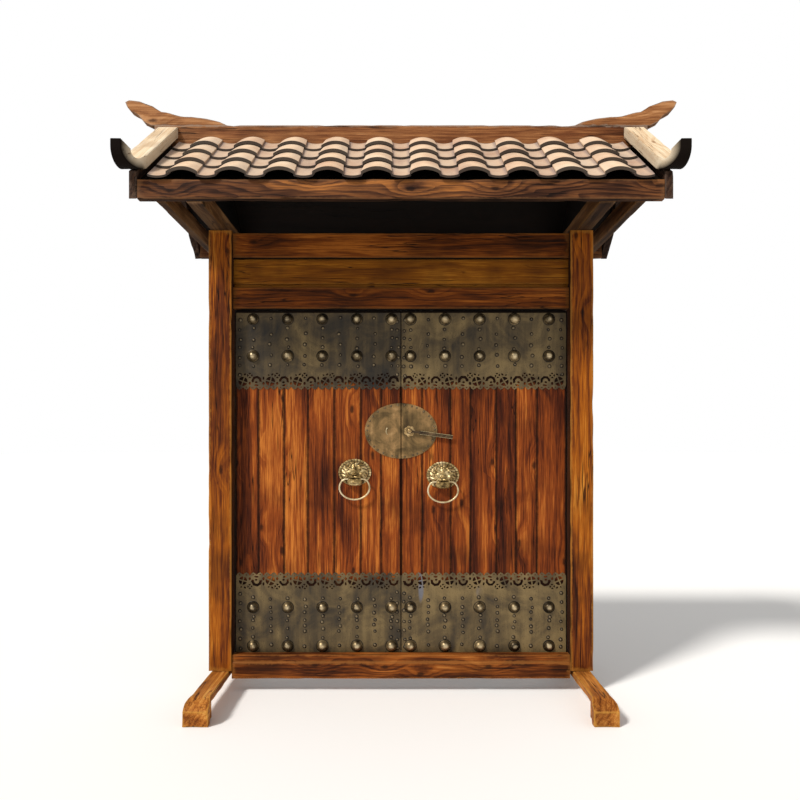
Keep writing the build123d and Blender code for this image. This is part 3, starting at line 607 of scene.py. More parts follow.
# painted shade for each plank vertex, strongest behind the bands and in the gaps
def plankShades(mesh, low, high, joints, foot, top):
    values = []
    margin = plankShade["bandMargin"]
    for vert in mesh.vertices:
        x, y, z = vert.co
        hidden = y < high.y - planks["back"] and (z > top + margin or z < foot - margin)
        behind = plankShade["behind"] if hidden else 0.0
        joint = 0.0
        if abs(vert.normal.x) > 0.3:
            nearest = min(abs(x - edge) for edge in joints)
            joint = plankShade["joint"] * max(0.0, 1 - nearest / plankShade["jointReach"])
        ends = abs(vert.normal.x) if min(x - low.x, high.x - x) < plankShade["endReach"] else 0.0
        head = 1.0 if z > high.z - 0.001 else 0.0
        values.append(max(behind, joint, ends, head))
    return values


def leafPlanks(side, seed):
    low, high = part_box(side + "_leaf_boards")
    bandLow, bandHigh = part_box(side + "_upper_band")
    left = side == "left"
    meeting = bandHigh.x if left else bandLow.x  # the meeting edge stands further out at the face
    shut = -planks["meeting"] if left else planks["meeting"]
    rng = random.Random(seed)
    shares = [1 + rng.uniform(-1, 1) * planks["spread"] for _ in range(planks["count"])]
    edges = np.cumsum([0] + shares) / sum(shares) * (high.x - low.x) + low.x
    final = planks["count"] - 1
    whole = bmesh.new()
    tones, wears = [], []
    for i in range(planks["count"]):
        inset = rng.uniform(0, planks["inset"])
        first = Vector((edges[i] - (planks["lap"] if i else 0), low.y + inset, low.z))
        last = Vector((edges[i + 1] + (planks["lap"] if i < final else 0), high.y, high.z + planks["head"]))
        work = boxMesh(first, last)
        if i == (final if left else 0):
            inner = last.x if left else first.x
            for vert in work.verts:
                if abs(vert.co.x - inner) < 1e-5:
                    vert.co.x = meeting if vert.co.y < high.y - planks["back"] else shut
        tree = edgeTree(work)
        bmesh.ops.bevel(work, geom=work.edges[:], offset=planks["arris"], segments=2, affect="EDGES")
        cutGrid(work, planks["cells"])
        share = (0.15, 1, 1)
        mesh = shapeTimber("plank", work, tree, planks["wander"], planks["chip"], seed * 10 + i, share)
        tones += [rng.random()] * len(mesh.vertices)
        wears += [item.value for item in mesh.attributes["wear"].data]
        whole.from_mesh(mesh)
        bpy.data.meshes.remove(mesh)
    mesh = newMesh(whole, side + "_planks")
    writeAttribute(mesh, "plank", tones)
    writeAttribute(mesh, "wear", wears)
    foot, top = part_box(side + "_lower_band")[1].z, bandLow.z
    writeAttribute(mesh, "paintedShade", plankShades(mesh, low, high, list(edges[1:-1]), foot, top))
    showPiece(side + "_planks", mesh, "doorWood", side + "_leaf", [side + "_leaf_boards"])


leafPlanks("left", 3)
leafPlanks("right", 8)
print("leaves planked")

# Geometry nodes


def nodeTree(name, inputs):
    tree = bpy.data.node_groups.new(name, "GeometryNodeTree")
    tree.interface.new_socket("Geometry", in_out="OUTPUT", socket_type="NodeSocketGeometry")
    sockets = {"Geometry": "Geometry"} | inputs | {"seed": "Int", "finish": "Material"}
    for label, kind in sockets.items():
        tree.interface.new_socket(label, in_out="INPUT", socket_type="NodeSocket" + kind)
    return tree, tree.nodes.new("NodeGroupInput").outputs


def randomValue(tree, low, high, seed):
    inputs = {2: low, 3: high, "Seed": seed}
    return put(tree, "FunctionNodeRandomValue", inputs, data_type="FLOAT").outputs[1]


def finishTree(tree, instances, given):
    tone = randomValue(tree, 0.0, 1.0, given["seed"])
    named = {"Geometry": instances, "Name": "tone", "Value": tone}
    toned = put(tree, "GeometryNodeStoreNamedAttribute", named, data_type="FLOAT", domain="INSTANCE")
    real = put(tree, "GeometryNodeRealizeInstances", {"Geometry": toned.outputs[0]})
    inputs = {"Geometry": real.outputs[0], "Material": given["finish"]}
    painted = put(tree, "GeometryNodeSetMaterial", inputs)
    tree.links.new(painted.outputs[0], tree.nodes.new("NodeGroupOutput").inputs["Geometry"])
    return tree


def scatterTree():
    inputs = {"shape": "Object", "turn": "Float", "smallest": "Float", "largest": "Float"}
    tree, given = nodeTree("scatterOnPoints", inputs)
    shape = put(tree, "GeometryNodeObjectInfo", {"Object": given["shape"]}).outputs["Geometry"]
    turn = randomValue(tree, 0.0, given["turn"], given["seed"])
    rotation = put(tree, "ShaderNodeCombineXYZ", {1: turn}).outputs[0]
    size = randomValue(tree, given["smallest"], given["largest"], given["seed"])
    inputs = {"Points": given["Geometry"], "Instance": shape, "Rotation": rotation, "Scale": size}
    return finishTree(tree, put(tree, "GeometryNodeInstanceOnPoints", inputs).outputs[0], given)


def courseTree():
    counts = {"columns": "Int", "courses": "Int"}
    sizes = {"pitch": "Float", "step": "Float", "slope": "Float", "start": "Vector", "jitter": "Float"}
    tree, given = nodeTree("tileCourses", counts | sizes)
    width = maths(tree, "MULTIPLY", maths(tree, "SUBTRACT", given["columns"], 1.0), given["pitch"])
    height = maths(tree, "MULTIPLY", maths(tree, "SUBTRACT", given["courses"], 1.0), given["step"])
    inputs = {"Vertices X": given["columns"], "Vertices Y": given["courses"]}
    grid = put(tree, "GeometryNodeMeshGrid", inputs | {"Size X": width, "Size Y": height}).outputs[0]
    lift = put(tree, "ShaderNodeCombineXYZ", {1: maths(tree, "MULTIPLY", height, 0.5)}).outputs[0]
    upslope = put(tree, "GeometryNodeTransform", {"Geometry": grid, "Translation": lift}).outputs[0]
    tilt = put(tree, "ShaderNodeCombineXYZ", {0: given["slope"]}).outputs[0]
    inputs = {"Geometry": upslope, "Translation": given["start"], "Rotation": tilt}
    laid = put(tree, "GeometryNodeTransform", inputs).outputs[0]
    back = maths(tree, "MULTIPLY", given["jitter"], -1.0)
    low = put(tree, "ShaderNodeCombineXYZ", {i: back for i in range(3)}).outputs[0]
    high = put(tree, "ShaderNodeCombineXYZ", {i: given["jitter"] for i in range(3)}).outputs[0]
    inputs = {0: low, 1: high, "Seed": given["seed"]}
    turn = put(tree, "FunctionNodeRandomValue", inputs, data_type="FLOAT_VECTOR").outputs[0]
    inputs = {"Points": laid, "Instance": given["Geometry"], "Rotation": turn}
    return finishTree(tree, put(tree, "GeometryNodeInstanceOnPoints", inputs).outputs[0], given)


trees = {"scatter": scatterTree(), "courses": courseTree()}


def evaluated(holder):
    scene.collection.objects.link(holder)
    graph = bpy.context.evaluated_depsgraph_get()
    mesh = bpy.data.meshes.new_from_object(holder.evaluated_get(graph))
    bpy.data.objects.remove(holder)
    return mesh


def runTree(which, mesh, values):
    holder = bpy.data.objects.new("holder", mesh)
    modifier = holder.modifiers.new("repeat", "NODES")
    modifier.node_group = trees[which]
    for item in trees[which].interface.items_tree:
        if item.in_out == "INPUT" and item.name in values:
            modifier[item.identifier] = values[item.name]
    return evaluated(holder)


def scatter(places, shape, finish, seed, smallest=0.94, largest=1.03):
    points = bpy.data.meshes.new("places")
    points.from_pydata([tuple(p) for p in places], [], [])
    values = {"shape": shape, "turn": 6.283, "smallest": smallest, "largest": largest}
    return runTree("scatter", points, values | {"seed": seed, "finish": finishes[finish]})


# Roof tiles

roof = {
    "slope": math.radians(36.8),
    "thick": 0.012,
    "coverThick": 0.019,
    "seat": 0.0003,
    "step": 0.178,
    "pitch": 0.257,
    "columns": 10,
    "courses": 4,
    "length": 0.218,
    "coverHalf": 0.0825,
    "coverHeadHalf": 0.07,
    "coverRise": 0.026,
    "panHalf": 0.066,
    "panTailHalf": 0.052,
    "panSag": 0.015,
    "ridgeFace": 0.0453,
    "jitter": math.radians(0.45),
}


def arcHeight(u, half, rise):
    radius = (half * half + rise * rise) / (2 * rise)
    return math.sqrt(max(0.0, radius * radius - u * u)) - radius + rise


tileRuns = (0.0, 0.02, 0.25, 0.5, 0.7, 0.775, 0.8, 0.816, 0.84, 1.0)
# arris bevels the tiles; tail, lapReach and lapShare place painted shade on tail ends, undersides and the
# laps under the next course; gutterHalf is where dirt and painted shade reach full strength
tileArrisAndShade = {"arris": 0.0009, "tail": 0.002, "lapReach": 0.006, "lapShare": 0.9, "gutterHalf": 0.045}


def tileMesh(name, tailHalf, headHalf, thick, under, gutter, shade, chords=16):
    tilt = math.asin((thick + roof["seat"]) / roof["step"])
    angle = roof["slope"] - tilt
    along = Vector((0, math.cos(angle), math.sin(angle)))
    outward = Vector((0, -math.sin(angle), math.cos(angle)))
    work = bmesh.new()
    rows = []
    for share in tileRuns:
        half = tailHalf + (headHalf - tailHalf) * share
        across = [half * (1 - 2 * i / chords) for i in range(chords + 1)]
        points = [(u, under(u)) for u in across] + [(-u, under(-u) + thick) for u in across]
        start = along * (roof["length"] * share)
        rows.append([work.verts.new(start + Vector((u, 0, height))) for u, height in points])
    skinRows(work, rows)
    count = len(rows[0])
    for ring, flip in ((rows[0], False), (rows[-1], True)):
        for i in range(chords):
            face = (ring[i], ring[i + 1], ring[count - 2 - i], ring[count - 1 - i])
            work.faces.new(face if flip else face[::-1])
    bmesh.ops.recalc_face_normals(work, faces=work.faces)
    rims = sharpEdges(work, 50)
    bmesh.ops.bevel(
        work, geom=rims, offset=tileArrisAndShade["arris"], segments=2, affect="EDGES", clamp_overlap=True
    )
    mesh = newMesh(work, name)
    rims, dirtAndShades = [], []
    for vert in mesh.vertices:
        run = vert.co.y / along.y
        # painted shade: tail end faces and undersides fully dark, darkening towards and under the next
        # course's tail
        dark = run < tileArrisAndShade["tail"] or vert.normal.dot(outward) < -0.3
        lap = math.exp(-(roof["step"] - run) / tileArrisAndShade["lapReach"]) if run < roof["step"] else 1.0
        rims.append(1.0 if dark else tileArrisAndShade["lapShare"] * lap)
        # dirt and painted shade: pans darkened all over by their shade share, and both tile kinds darker
        # towards their sides
        dirtAndShades.append(max(shade, gutter * min(1.0, abs(vert.co.x) / tileArrisAndShade["gutterHalf"]) ** 2))
    writeAttribute(mesh, "rim", rims)
    writeAttribute(mesh, "dirtAndShade", dirtAndShades)
    return mesh


def panUnder(u):
    return roof["panSag"] - arcHeight(u, roof["panHalf"], roof["panSag"])


def coverUnder(u):
    return arcHeight(u, roof["coverHalf"], roof["coverRise"])


def tileSlope(name, source, columns, lift, seed, rear, node):
    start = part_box("front_pan_tiles")[0]
    values = {key: roof[key] for key in ("courses", "pitch", "step", "slope", "jitter")}
    values |= {"columns": columns, "start": (0.0, start.y, start.z + lift), "seed": seed}
    mesh = runTree("courses", source.copy(), values | {"finish": finishes["clay"]})
    work = opened(mesh)
    sliceOff(work, (0, -roof["ridgeFace"], 0), (0, 1, 0))
    if rear:
        for vert in work.verts:
            vert.co.y = -vert.co.y
        bmesh.ops.reverse_faces(work, faces=work.faces)
    showPiece(name, closed(work, mesh), "clay", "frame", [node], smooth=50)


panShape = tileMesh("pan", roof["panTailHalf"], roof["panHalf"], roof["thick"], panUnder, 0.85, 0.35)
coverHalves = (roof["coverHalf"], roof["coverHeadHalf"])
coverShape = tileMesh("cover", *coverHalves, roof["coverThick"], coverUnder, 0.2, 0.0)
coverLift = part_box("front_cover_tiles")[0].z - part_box("front_pan_tiles")[0].z
columns = roof["columns"]
for rear, side in ((False, "front"), (True, "rear")):
    tileSlope(side + "Pans", panShape, columns + 1, 0.0, 5 + rear, rear, side + "_pan_tiles")
    tileSlope(side + "Covers", coverShape, columns, coverLift, 11 + rear, rear, side + "_cover_tiles")
print("tiles laid")

# Verge boards

verge = {
    "lift": 0.049,
    "thick": 0.055,
    "straight": 0.575,
    "curl": 0.030,
    "turn": math.radians(127),
    "steps": 18,
    "tipLength": 0.006,
    "tipBevel": 0.034,
    "tipWidth": 0.056,
    "tipOut": 0.015,
    "tipFlare": 0.136,
    "width": 0.126,
    "straightRows": 12,
    "columns": 6,
    "arris": 0.004,
    "wander": 0.002,
    "chip": 0.006,
}


def deckHeight(y, above, peak):
    return peak - abs(y) * math.tan(roof["slope"]) + above / math.cos(roof["slope"])


def vergeLine(distance, peak, centre):
    radius = verge["curl"] + verge["thick"] - distance
    made = []
    rows = verge["straightRows"]
    for i in range(rows):
        y = -roof["ridgeFace"] - (verge["straight"] - roof["ridgeFace"]) * i / rows
        y -= distance * math.sin(roof["slope"]) * i / rows
        made.append((y, deckHeight(y, verge["lift"] + distance, peak)))
    for i in range(verge["steps"] + 1):
        turn = roof["slope"] - verge["turn"] * i / verge["steps"]
        made.append((centre[0] + radius * math.sin(turn), centre[1] - radius * math.cos(turn)))
    rise = verge["tipLength"] + verge["tipBevel"] * (1 - distance / verge["thick"])
    y, z = made[-1]
    for part in (0.5, 1.0):
        made.append((y - rise * part * math.cos(turn), z - rise * part * math.sin(turn)))
    return made


def vergeSides(y, innerX):
    outerX = innerX + verge["width"]
    tipX = outerX + verge["tipOut"]
    share = min(1.0, max(0.0, (-y - verge["straight"]) / verge["tipFlare"]))
    return innerX + (tipX - verge["tipWidth"] - innerX) * share, outerX + (tipX - outerX) * share


# painted shade on the verge boards: the curls' outward faces, the undersides and the inner side faces are
# darkened
def vergeShades(mesh, centre):
    values = []
    for vert in mesh.vertices:
        out = Vector((0, vert.co.y - centre[0], vert.co.z - centre[1])).normalized()
        curled = min(1.0, max(0.0, (-vert.co.y - verge["straight"] + 0.03) / 0.05))
        outward = max(0.0, vert.normal.dot(out)) * curled
        under = max(0.0, -vert.normal.z - 0.3) * 1.5
        inward = max(0.0, -vert.normal.x) * 0.45
        values.append(min(1.0, max(outward * 1.6, under, inward)))
    return values


def vergeMesh(name, peak, innerX):
    reach = verge["curl"] + verge["thick"]
    base = deckHeight(verge["straight"], verge["lift"], peak)
    centre = (-verge["straight"] - reach * math.sin(roof["slope"]), base + reach * math.cos(roof["slope"]))
    work = bmesh.new()
    rows = []
    for low, high in zip(vergeLine(0.0, peak, centre), vergeLine(verge["thick"], peak, centre)):
        shares = [i / verge["columns"] for i in range(verge["columns"] + 1)]
        ring = []
        for (y, z), wayBack in ((low, False), (high, True)):
            inner, outer = vergeSides(y, innerX)
            across = [inner + (outer - inner) * share for share in shares]
            ring += [(inner + outer - x if wayBack else x, y, z) for x in across]
        rows.append([work.verts.new(point) for point in ring])
    skinRows(work, rows)
    work.faces.new(rows[0][::-1])
    work.faces.new(rows[-1])
    bmesh.ops.recalc_face_normals(work, faces=work.faces)
    tree = edgeTree(work, 40)
    sharp = sharpEdges(work, 40)
    bmesh.ops.bevel(
        work, geom=sharp, offset=verge["arris"], segments=2, affect="EDGES", clamp_overlap=True
    )
    mesh = shapeTimber(name, work, tree, verge["wander"], verge["chip"], 3)
    writeAttribute(mesh, "paintedShade", vergeShades(mesh, centre))
    return mesh


def mirrored(mesh, name, flipX, flipY=False):
    made = mesh.copy()
    made.name = name
    work = opened(made)
    for vert in work.verts:
        vert.co.x *= -1 if flipX else 1
        vert.co.y *= -1 if flipY else 1
    if flipX != flipY:
        bmesh.ops.reverse_faces(work, faces=work.faces)
    return closed(work, made)


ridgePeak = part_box("front_deck")[1].z
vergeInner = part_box("right_front_verge_board")[0].x
vergeShape = vergeMesh("verge", ridgePeak, vergeInner)
for side, flipX in (("right", False), ("left", True)):
    for end, flipY in (("front", False), ("rear", True)):
        node = f"{side}_{end}_verge_board"
        mesh = mirrored(vergeShape, node + ".curled", flipX, flipY)
        writeAttribute(mesh, "plank", picker.random())
        showPiece(node + ".curled", mesh, "vergeWood", "frame", [node], smooth=50)
print("verge boards curled")

# Ridge horns

hornOutline = (
    (1.050, 3.4475),
    (1.104, 3.474),
    (1.190, 3.494),
    (1.348, 3.513),
    (1.462, 3.538),
    (1.513, 3.573),
    (1.592, 3.599),
    (1.660, 3.6065),
    (1.686, 3.594),
    (1.672, 3.560),
    (1.650, 3.534),
    (1.602, 3.509),
    (1.572, 3.472),
    (1.522, 3.4475),
)


def hornMesh(name):
    low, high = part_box("right_ridge_horn")
    mesh = flatCurve(hornOutline, [], high.y - low.y)
    for vert in mesh.vertices:
        x, z, y = vert.co
        vert.co = Vector((x, (low.y + high.y) / 2 - y, z))
    return hewnMesh(name, mesh, 0.003, (0.011, 0.015, 0.011), 0.0025, 0.016, 9)


# Pierced bands

bands = {"lobes": 12, "notch": 0.021, "middle": 0.016, "thick": 0.002, "bar": 0.0075}
# one half of a lobe's edge, as shares of the pitch and drops from the tip
toothSteps = (
    (0.05, 0.019), (0.09, 0.009), (0.16, 0.008), (0.24, 0.0),
    (0.31, 0.006), (0.37, 0.006), (0.43, 0.013),
)


def bandOutline(tip, straight, sign):
    pitch = (rightEdge - leftEdge) / bands["lobes"]
    points = [(leftEdge, tip - sign * bands["notch"])]
    for i in range(bands["lobes"]):
        start = leftEdge + i * pitch
        half = [(share * pitch, drop) for share, drop in toothSteps] + [(0.5 * pitch, bands["middle"])]
        whole = half + [(pitch - u, drop) for u, drop in half[-2::-1]]
        points += [(start + u, tip - sign * drop) for u, drop in whole]
        points.append((start + pitch, tip - sign * bands["notch"]))
    return [(rightEdge, straight), (leftEdge, straight)] + points


def ovalHole(centre, half, turn, count):
    points = []
    c, s = math.cos(turn), math.sin(turn)
    for i in range(count):
        angle = 2 * math.pi * i / count
        u, v = half[0] * math.cos(angle), half[1] * math.sin(angle)
        points.append((centre[0] + u * c - v * s, centre[1] + u * s + v * c))
    return points


def crossHoles(centre, radius, turn):
    holes = []
    half = bands["bar"] / 2
    for quarter in range(4):
        base = turn + quarter * math.pi / 2
        near = math.asin(half / radius)
        arc = [near + (math.pi / 2 - 2 * near) * i / 4 for i in range(5)]
        points = [(half, half)] + [(radius * math.cos(a), radius * math.sin(a)) for a in arc]
        c, s = math.cos(base), math.sin(base)
        holes.append([(centre[0] + u * c - v * s, centre[1] + u * s + v * c) for u, v in points])
    return holes


def scrollHole(centre, outer, inner, turn, sign):
    points = []
    for radius, way in ((outer, 1), (inner, -1)):
        for i in range(10):
            angle = turn + way * math.radians(105) * (1 - 2 * i / 9)
            reach = radius * (1.09 if i % 2 and radius == outer else 1)
            points.append((centre[0] + reach * math.sin(angle), centre[1] - sign * reach * math.cos(angle)))
    return points


# holes as their place from a lobe's middle, drop from its tip and half sizes
piercings = {
    "cross": (0.0525, 0.0275),
    "underCross": (
        ((-0.012, 0.0955), (0.0085, 0.0055), 0.6, 9),
        ((0.0105, 0.0915), (0.0065, 0.0045), -0.4, 8),
    ),
    "scroll": (0.055, 0.0305, 0.0165),
    "eye": ((0.003, 0.0475), (0.0085, 0.0062)),
    "foot": (0.029, (0.0135, 0.0058)),
    "pair": (0.0215, (0.0048, 0.0038)),
    "pairDrops": (0.0155, 0.0175),
    "between": (0.0405, (0.0075, 0.0095)),
    "smallCross": (0.089, 0.0165),
    "slit": (0.0725, (0.0058, 0.0105)),
}


def bandHoles(tip, sign, rng):
    pitch = (rightEdge - leftEdge) / bands["lobes"]
    holes = []
    for i in range(bands["lobes"]):
        middle = leftEdge + (i + 0.5) * pitch
        grow = rng.uniform(0.92, 1.06)
        lean = rng.uniform(-0.25, 0.25)
        if i % 2:
            drop, radius = piercings["cross"]
            holes += crossHoles((middle, tip - sign * drop), radius * grow, 0.35 + lean)
            for (shift, drop), half, turn, count in piercings["underCross"]:
                holes.append(ovalHole((middle + shift, tip - sign * drop), half, turn * sign, count))
        else:
            drop, outer, inner = piercings["scroll"]
            holes.append(scrollHole((middle, tip - sign * drop), outer * grow, inner, lean, sign))
            (shift, drop), half = piercings["eye"]
            holes.append(ovalHole((middle + shift, tip - sign * drop), half, lean, 9))
            drop, half = piercings["foot"]
            holes.append(ovalHole((middle + lean * 0.02, tip - sign * drop), half, lean, 10))
        shift, half = piercings["pair"]
        for flip in (-1, 1):
            place = (middle + flip * shift, tip - sign * piercings["pairDrops"][i % 2])
            holes.append(ovalHole(place, half, 0.0, 7))
        if i:
            edge = middle - pitch / 2
            drop, half = piercings["between"]
            holes.append(ovalHole((edge, tip - sign * drop), (half[0], half[1] * grow), 0.0, 10))
            if i % 2:
                drop, radius = piercings["smallCross"]
                holes += crossHoles((edge, tip - sign * drop), radius * grow, 0.8 + lean)
            else:
                drop, half = piercings["slit"]
                holes.append(ovalHole((edge, tip - sign * drop), half, lean, 10))
    return holes


def polyline(curve, points):
    spline = curve.splines.new("POLY")
    spline.points.add(len(points) - 1)
    for point, place in zip(spline.points, points):
        point.co = (*place, 1)
    return spline


def flatCurve(outline, holes, thick, bevel=0.0):
    curve = bpy.data.curves.new("flat", "CURVE")
    curve.dimensions = "2D"
    curve.fill_mode = "BOTH"
    for points in [outline] + holes:
        polyline(curve, [(x, z, 0) for x, z in points]).use_cyclic_u = True
    curve.extrude = thick / 2 - bevel
    curve.bevel_depth = bevel
    if bevel:
        curve.bevel_resolution = 1
        curve.offset = -bevel
    return evaluated(bpy.data.objects.new("curve", curve))


def wireMesh(points, radii, wire, resolution):
    curve = bpy.data.curves.new("wire", "CURVE")
    curve.dimensions = "3D"
    curve.bevel_depth = wire
    curve.bevel_resolution = resolution
    curve.use_fill_caps = True
    for point, radius in zip(polyline(curve, points).points, radii):
        point.radius = radius
    return evaluated(bpy.data.objects.new("wire", curve))


hornShape = hornMesh("horn")
for side, flipX in (("right", False), ("left", True)):
    mesh = mirrored(hornShape, side + "_horn", flipX)
    writeAttribute(mesh, "plank", picker.random())
    # painted shade on the horns' downward faces
    writeAttribute(mesh, "paintedShade", [0.7 * max(0.0, -v.normal.z) for v in mesh.vertices])
    showPiece(side + "_ridge_horn.hewn", mesh, "ridgeWood", "frame", [side + "_ridge_horn"])
print("horns hewn")

leftEdge, rightEdge = (corner.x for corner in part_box("right_upper_band"))


def makeBand(side, which, seed):
    node = f"{side}_{which}_band"
    low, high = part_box(node)
    sign, straight, tip = (-1, high.z, low.z) if which == "upper" else (1, low.z, high.z)
    rng = random.Random(seed)
    mesh = flatCurve(bandOutline(tip, straight, sign), bandHoles(tip, sign, rng), bands["thick"])
    middle = (low.y + high.y) / 2
    work = opened(mesh)
    bmesh.ops.remove_doubles(work, verts=work.verts, dist=1e-5)
    for vert in work.verts:
        x, z, y = vert.co
        vert.co = Vector((-x if side == "left" else x, middle + y, z))
    bmesh.ops.recalc_face_normals(work, faces=work.faces)
    if work.calc_volume(signed=True) < 0:
        bmesh.ops.reverse_faces(work, faces=work.faces)
    writeAttribute(closed(work, mesh), "tone", rng.random())
    showPiece(node + ".pierced", mesh, "bandMetal", side + "_leaf", [node])


for seed, (side, which) in enumerate((s, w) for s in ("left", "right") for w in ("upper", "lower")):
    makeBand(side, which, seed + 20)
print("bands pierced")

# Studs and nails


def turnedMesh(name, profile, around):
    work = bmesh.new()
    turns = [2 * math.pi * i / around for i in range(around)]
    rows = []
    for radius, depth in profile:
        rows.append([work.verts.new((radius * math.cos(a), -depth, radius * math.sin(a))) for a in turns])
    skinRows(work, rows)
    work.faces.new(rows[0])
    work.faces.new(rows[-1])
    bmesh.ops.recalc_face_normals(work, faces=work.faces)
    mesh = newMesh(work, name)
    highest = profile[-1][1]
    # painted shade: the lowest ring, where a stud, nail or pin sits on its surface, is painted dark
    writeAttribute(mesh, "crease", [1.0 if -v.co.y < 0.0009 else 0.0 for v in mesh.vertices])
    # the crown takes the pale worn tone: partly wear, partly painted highlight
    writeAttribute(mesh, "wear", [max(0.0, -v.co.y / highest - 0.55) * 1.6 for v in mesh.vertices])
    return mesh


def shapeObject(name, profile, around):
    made = bpy.data.objects.new(name, turnedMesh(name, profile, around))
    scene.collection.objects.link(made)
    return made


# profiles run from rim to crown, as radius and height, and rows lie below a leaf's top or above its foot
studs = {
    "profile": (
        (0.0395, 0.0), (0.0392, 0.0005), (0.0345, 0.0008), (0.0342, 0.0030),
        (0.0315, 0.0045), (0.0300, 0.0090), (0.0275, 0.0145), (0.0235, 0.0200),
        (0.0175, 0.0248), (0.0105, 0.0280), (0.004, 0.0296),
    ),
    "around": 24,
    "columns": 5,
    "first": 0.058,
    "margin": 0.1053,
    "upper": (0.039, 0.266),
    "lower": (0.043, 0.280),
}
nails = {
    "profile": (
        (0.0135, 0.0), (0.0132, 0.0004), (0.0102, 0.0007),
        (0.0098, 0.0026), (0.0072, 0.0056), (0.0032, 0.0072),
    ),
    "around": 10,
    "upperStud": (0.099, 0.160, 0.216, 0.324),
    "lowerStud": (0.096, 0.152, 0.196, 0.226, 0.338),
    "upperMiddle": (0.035, 0.133, 0.197, 0.265, 0.324),
    "lowerMiddle": (0.046, 0.127, 0.166, 0.205, 0.245, 0.284, 0.330),
    "upperEdge": (-0.385, -0.02),
    "lowerEdge": (0.03, 0.41),
    "edgeInsets": (0.020, 0.028),
    "edgeStep": 0.056,
    "astray": (0.006, 0.007),
}
studShape = shapeObject("studShape", studs["profile"], studs["around"])
nailShape = shapeObject("nailShape", nails["profile"], nails["around"])


def leafGrid(side):
    low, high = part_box(side + "_leaf_boards")
    pitch = (rightEdge - studs["margin"] - studs["first"]) / (studs["columns"] - 1)
    return low.z, high.z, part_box(side + "_upper_band")[0].y, pitch, -1 if side == "left" else 1


def heights(foot, top, below, above):
    return [top - drop for drop in below] + [foot + rise for rise in above]


def studPlaces(side):
    foot, top, face, pitch, flip = leafGrid(side)
    rows = heights(foot, top, studs["upper"], studs["lower"])
    return [(flip * (studs["first"] + pitch * i), face, z) for z in rows for i in range(studs["columns"])]


def nailPlaces(side, seed):
    foot, top, face, pitch, flip = leafGrid(side)
    rng = random.Random(seed)
    strayX, strayZ = nails["astray"]
    places = []

    def drive(x, rows):
        for z in rows:
            across = flip * (x + rng.uniform(-strayX, strayX))
            places.append((across, face, z + rng.uniform(-strayZ, strayZ)))

    for i in range(studs["columns"]):
        x = studs["first"] + pitch * i
        drive(x, heights(foot, top, nails["upperStud"], nails["lowerStud"]))
        if i < studs["columns"] - 1:
            drive(x + pitch / 2, heights(foot, top, nails["upperMiddle"], nails["lowerMiddle"]))
    for x in (nails["edgeInsets"][0], rightEdge - nails["edgeInsets"][1]):
        for end, (first, last) in ((top, nails["upperEdge"]), (foot, nails["lowerEdge"])):
            drive(x, np.arange(end + first, end + last, nails["edgeStep"]))
    return places


for seed, side in enumerate(("left", "right")):
    node = side + "_studs"
    mesh = scatter(studPlaces(side), studShape, "studMetal", 31 + seed)
    showPiece(node + ".domed", mesh, "studMetal", side + "_leaf", [node], smooth=60)
    places = nailPlaces(side, 41 + seed)
    mesh = scatter(places, nailShape, "ironMetal", 51 + seed, smallest=0.75, largest=1.0)
    showPiece(side + "Nails", mesh, "ironMetal", side + "_leaf", smooth=60)
print("studs and nails driven")

# Lock plate

lock = {
    "z": 1.587,
    "halfWidth": 0.2236,
    "halfHeight": 0.171,
    "thick": 0.003,
    "grid": (26, 336),
    "scallop": 0.006,
    "crimps": 84,
    "crimp": 0.0009,
    "crimpRing": (0.965, 0.035),
    "dip": 0.0005,
    "rimPins": 30,
    "pinRing": 0.93,
    "pin": ((0.0062, 0.0), (0.0058, 0.0014), (0.0026, 0.0028)),
}


def ovalRelief(name, centre, half, height, back, grid, outline=lambda turn: 1.0):
    rings, around = grid
    work = bmesh.new()
    turns = [2 * math.pi * k / around for k in range(around)]

    def point(u, v, depth):
        return work.verts.new((centre[0] + u, back - depth, centre[1] + v))

    middle = point(0.0, 0.0, height(0.0, 0.0, 0.0))
    rows = []
    for i in range(rings):
        share = ((i + 1) / rings) ** 0.9
        reaches = [share * outline(t) for t in turns]
        places = [(r * half[0] * math.cos(t), r * half[1] * math.sin(t)) for r, t in zip(reaches, turns)]
        rows.append([point(u, v, height(u, v, share)) for u, v in places])
    rows.append([point(u, v, 0.0) for u, v in places])
    for i in range(around):
        work.faces.new((middle, rows[0][i - 1], rows[0][i]))
    for lower, upper in zip(rows, rows[1:]):
        for i in range(around):
            work.faces.new((lower[i - 1], upper[i - 1], upper[i], lower[i]))
    work.faces.new(rows[-1])
    bmesh.ops.recalc_face_normals(work, faces=work.faces)
    return newMesh(work, name)


def crimpWave(turn):
    return math.cos(turn * lock["crimps"])


def plateOutline(turn):
    return 1 - lock["scallop"] * (0.5 + 0.5 * crimpWave(turn))


def plateHeight(u, v, share):
    turn = math.atan2(v / lock["halfHeight"], u / lock["halfWidth"])
    ring, reach = lock["crimpRing"]
    crimp = lock["crimp"] * max(0.0, 1 - abs(share - ring) / reach) * (0.6 + 0.4 * crimpWave(turn))
    dip = lock["dip"] * noise.noise(Vector((u * 14, v * 14, 1.3)))
    return lock["thick"] - 0.0006 + crimp + dip


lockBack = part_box("left_lock_plate")[1].y
plateHalf = (lock["halfWidth"], lock["halfHeight"])
plateCentre = (0.0, lock["z"])
plateShape = ovalRelief("plate", plateCentre, plateHalf, plateHeight, lockBack, lock["grid"], plateOutline)
pinShape = shapeObject("pinShape", lock["pin"], 8)


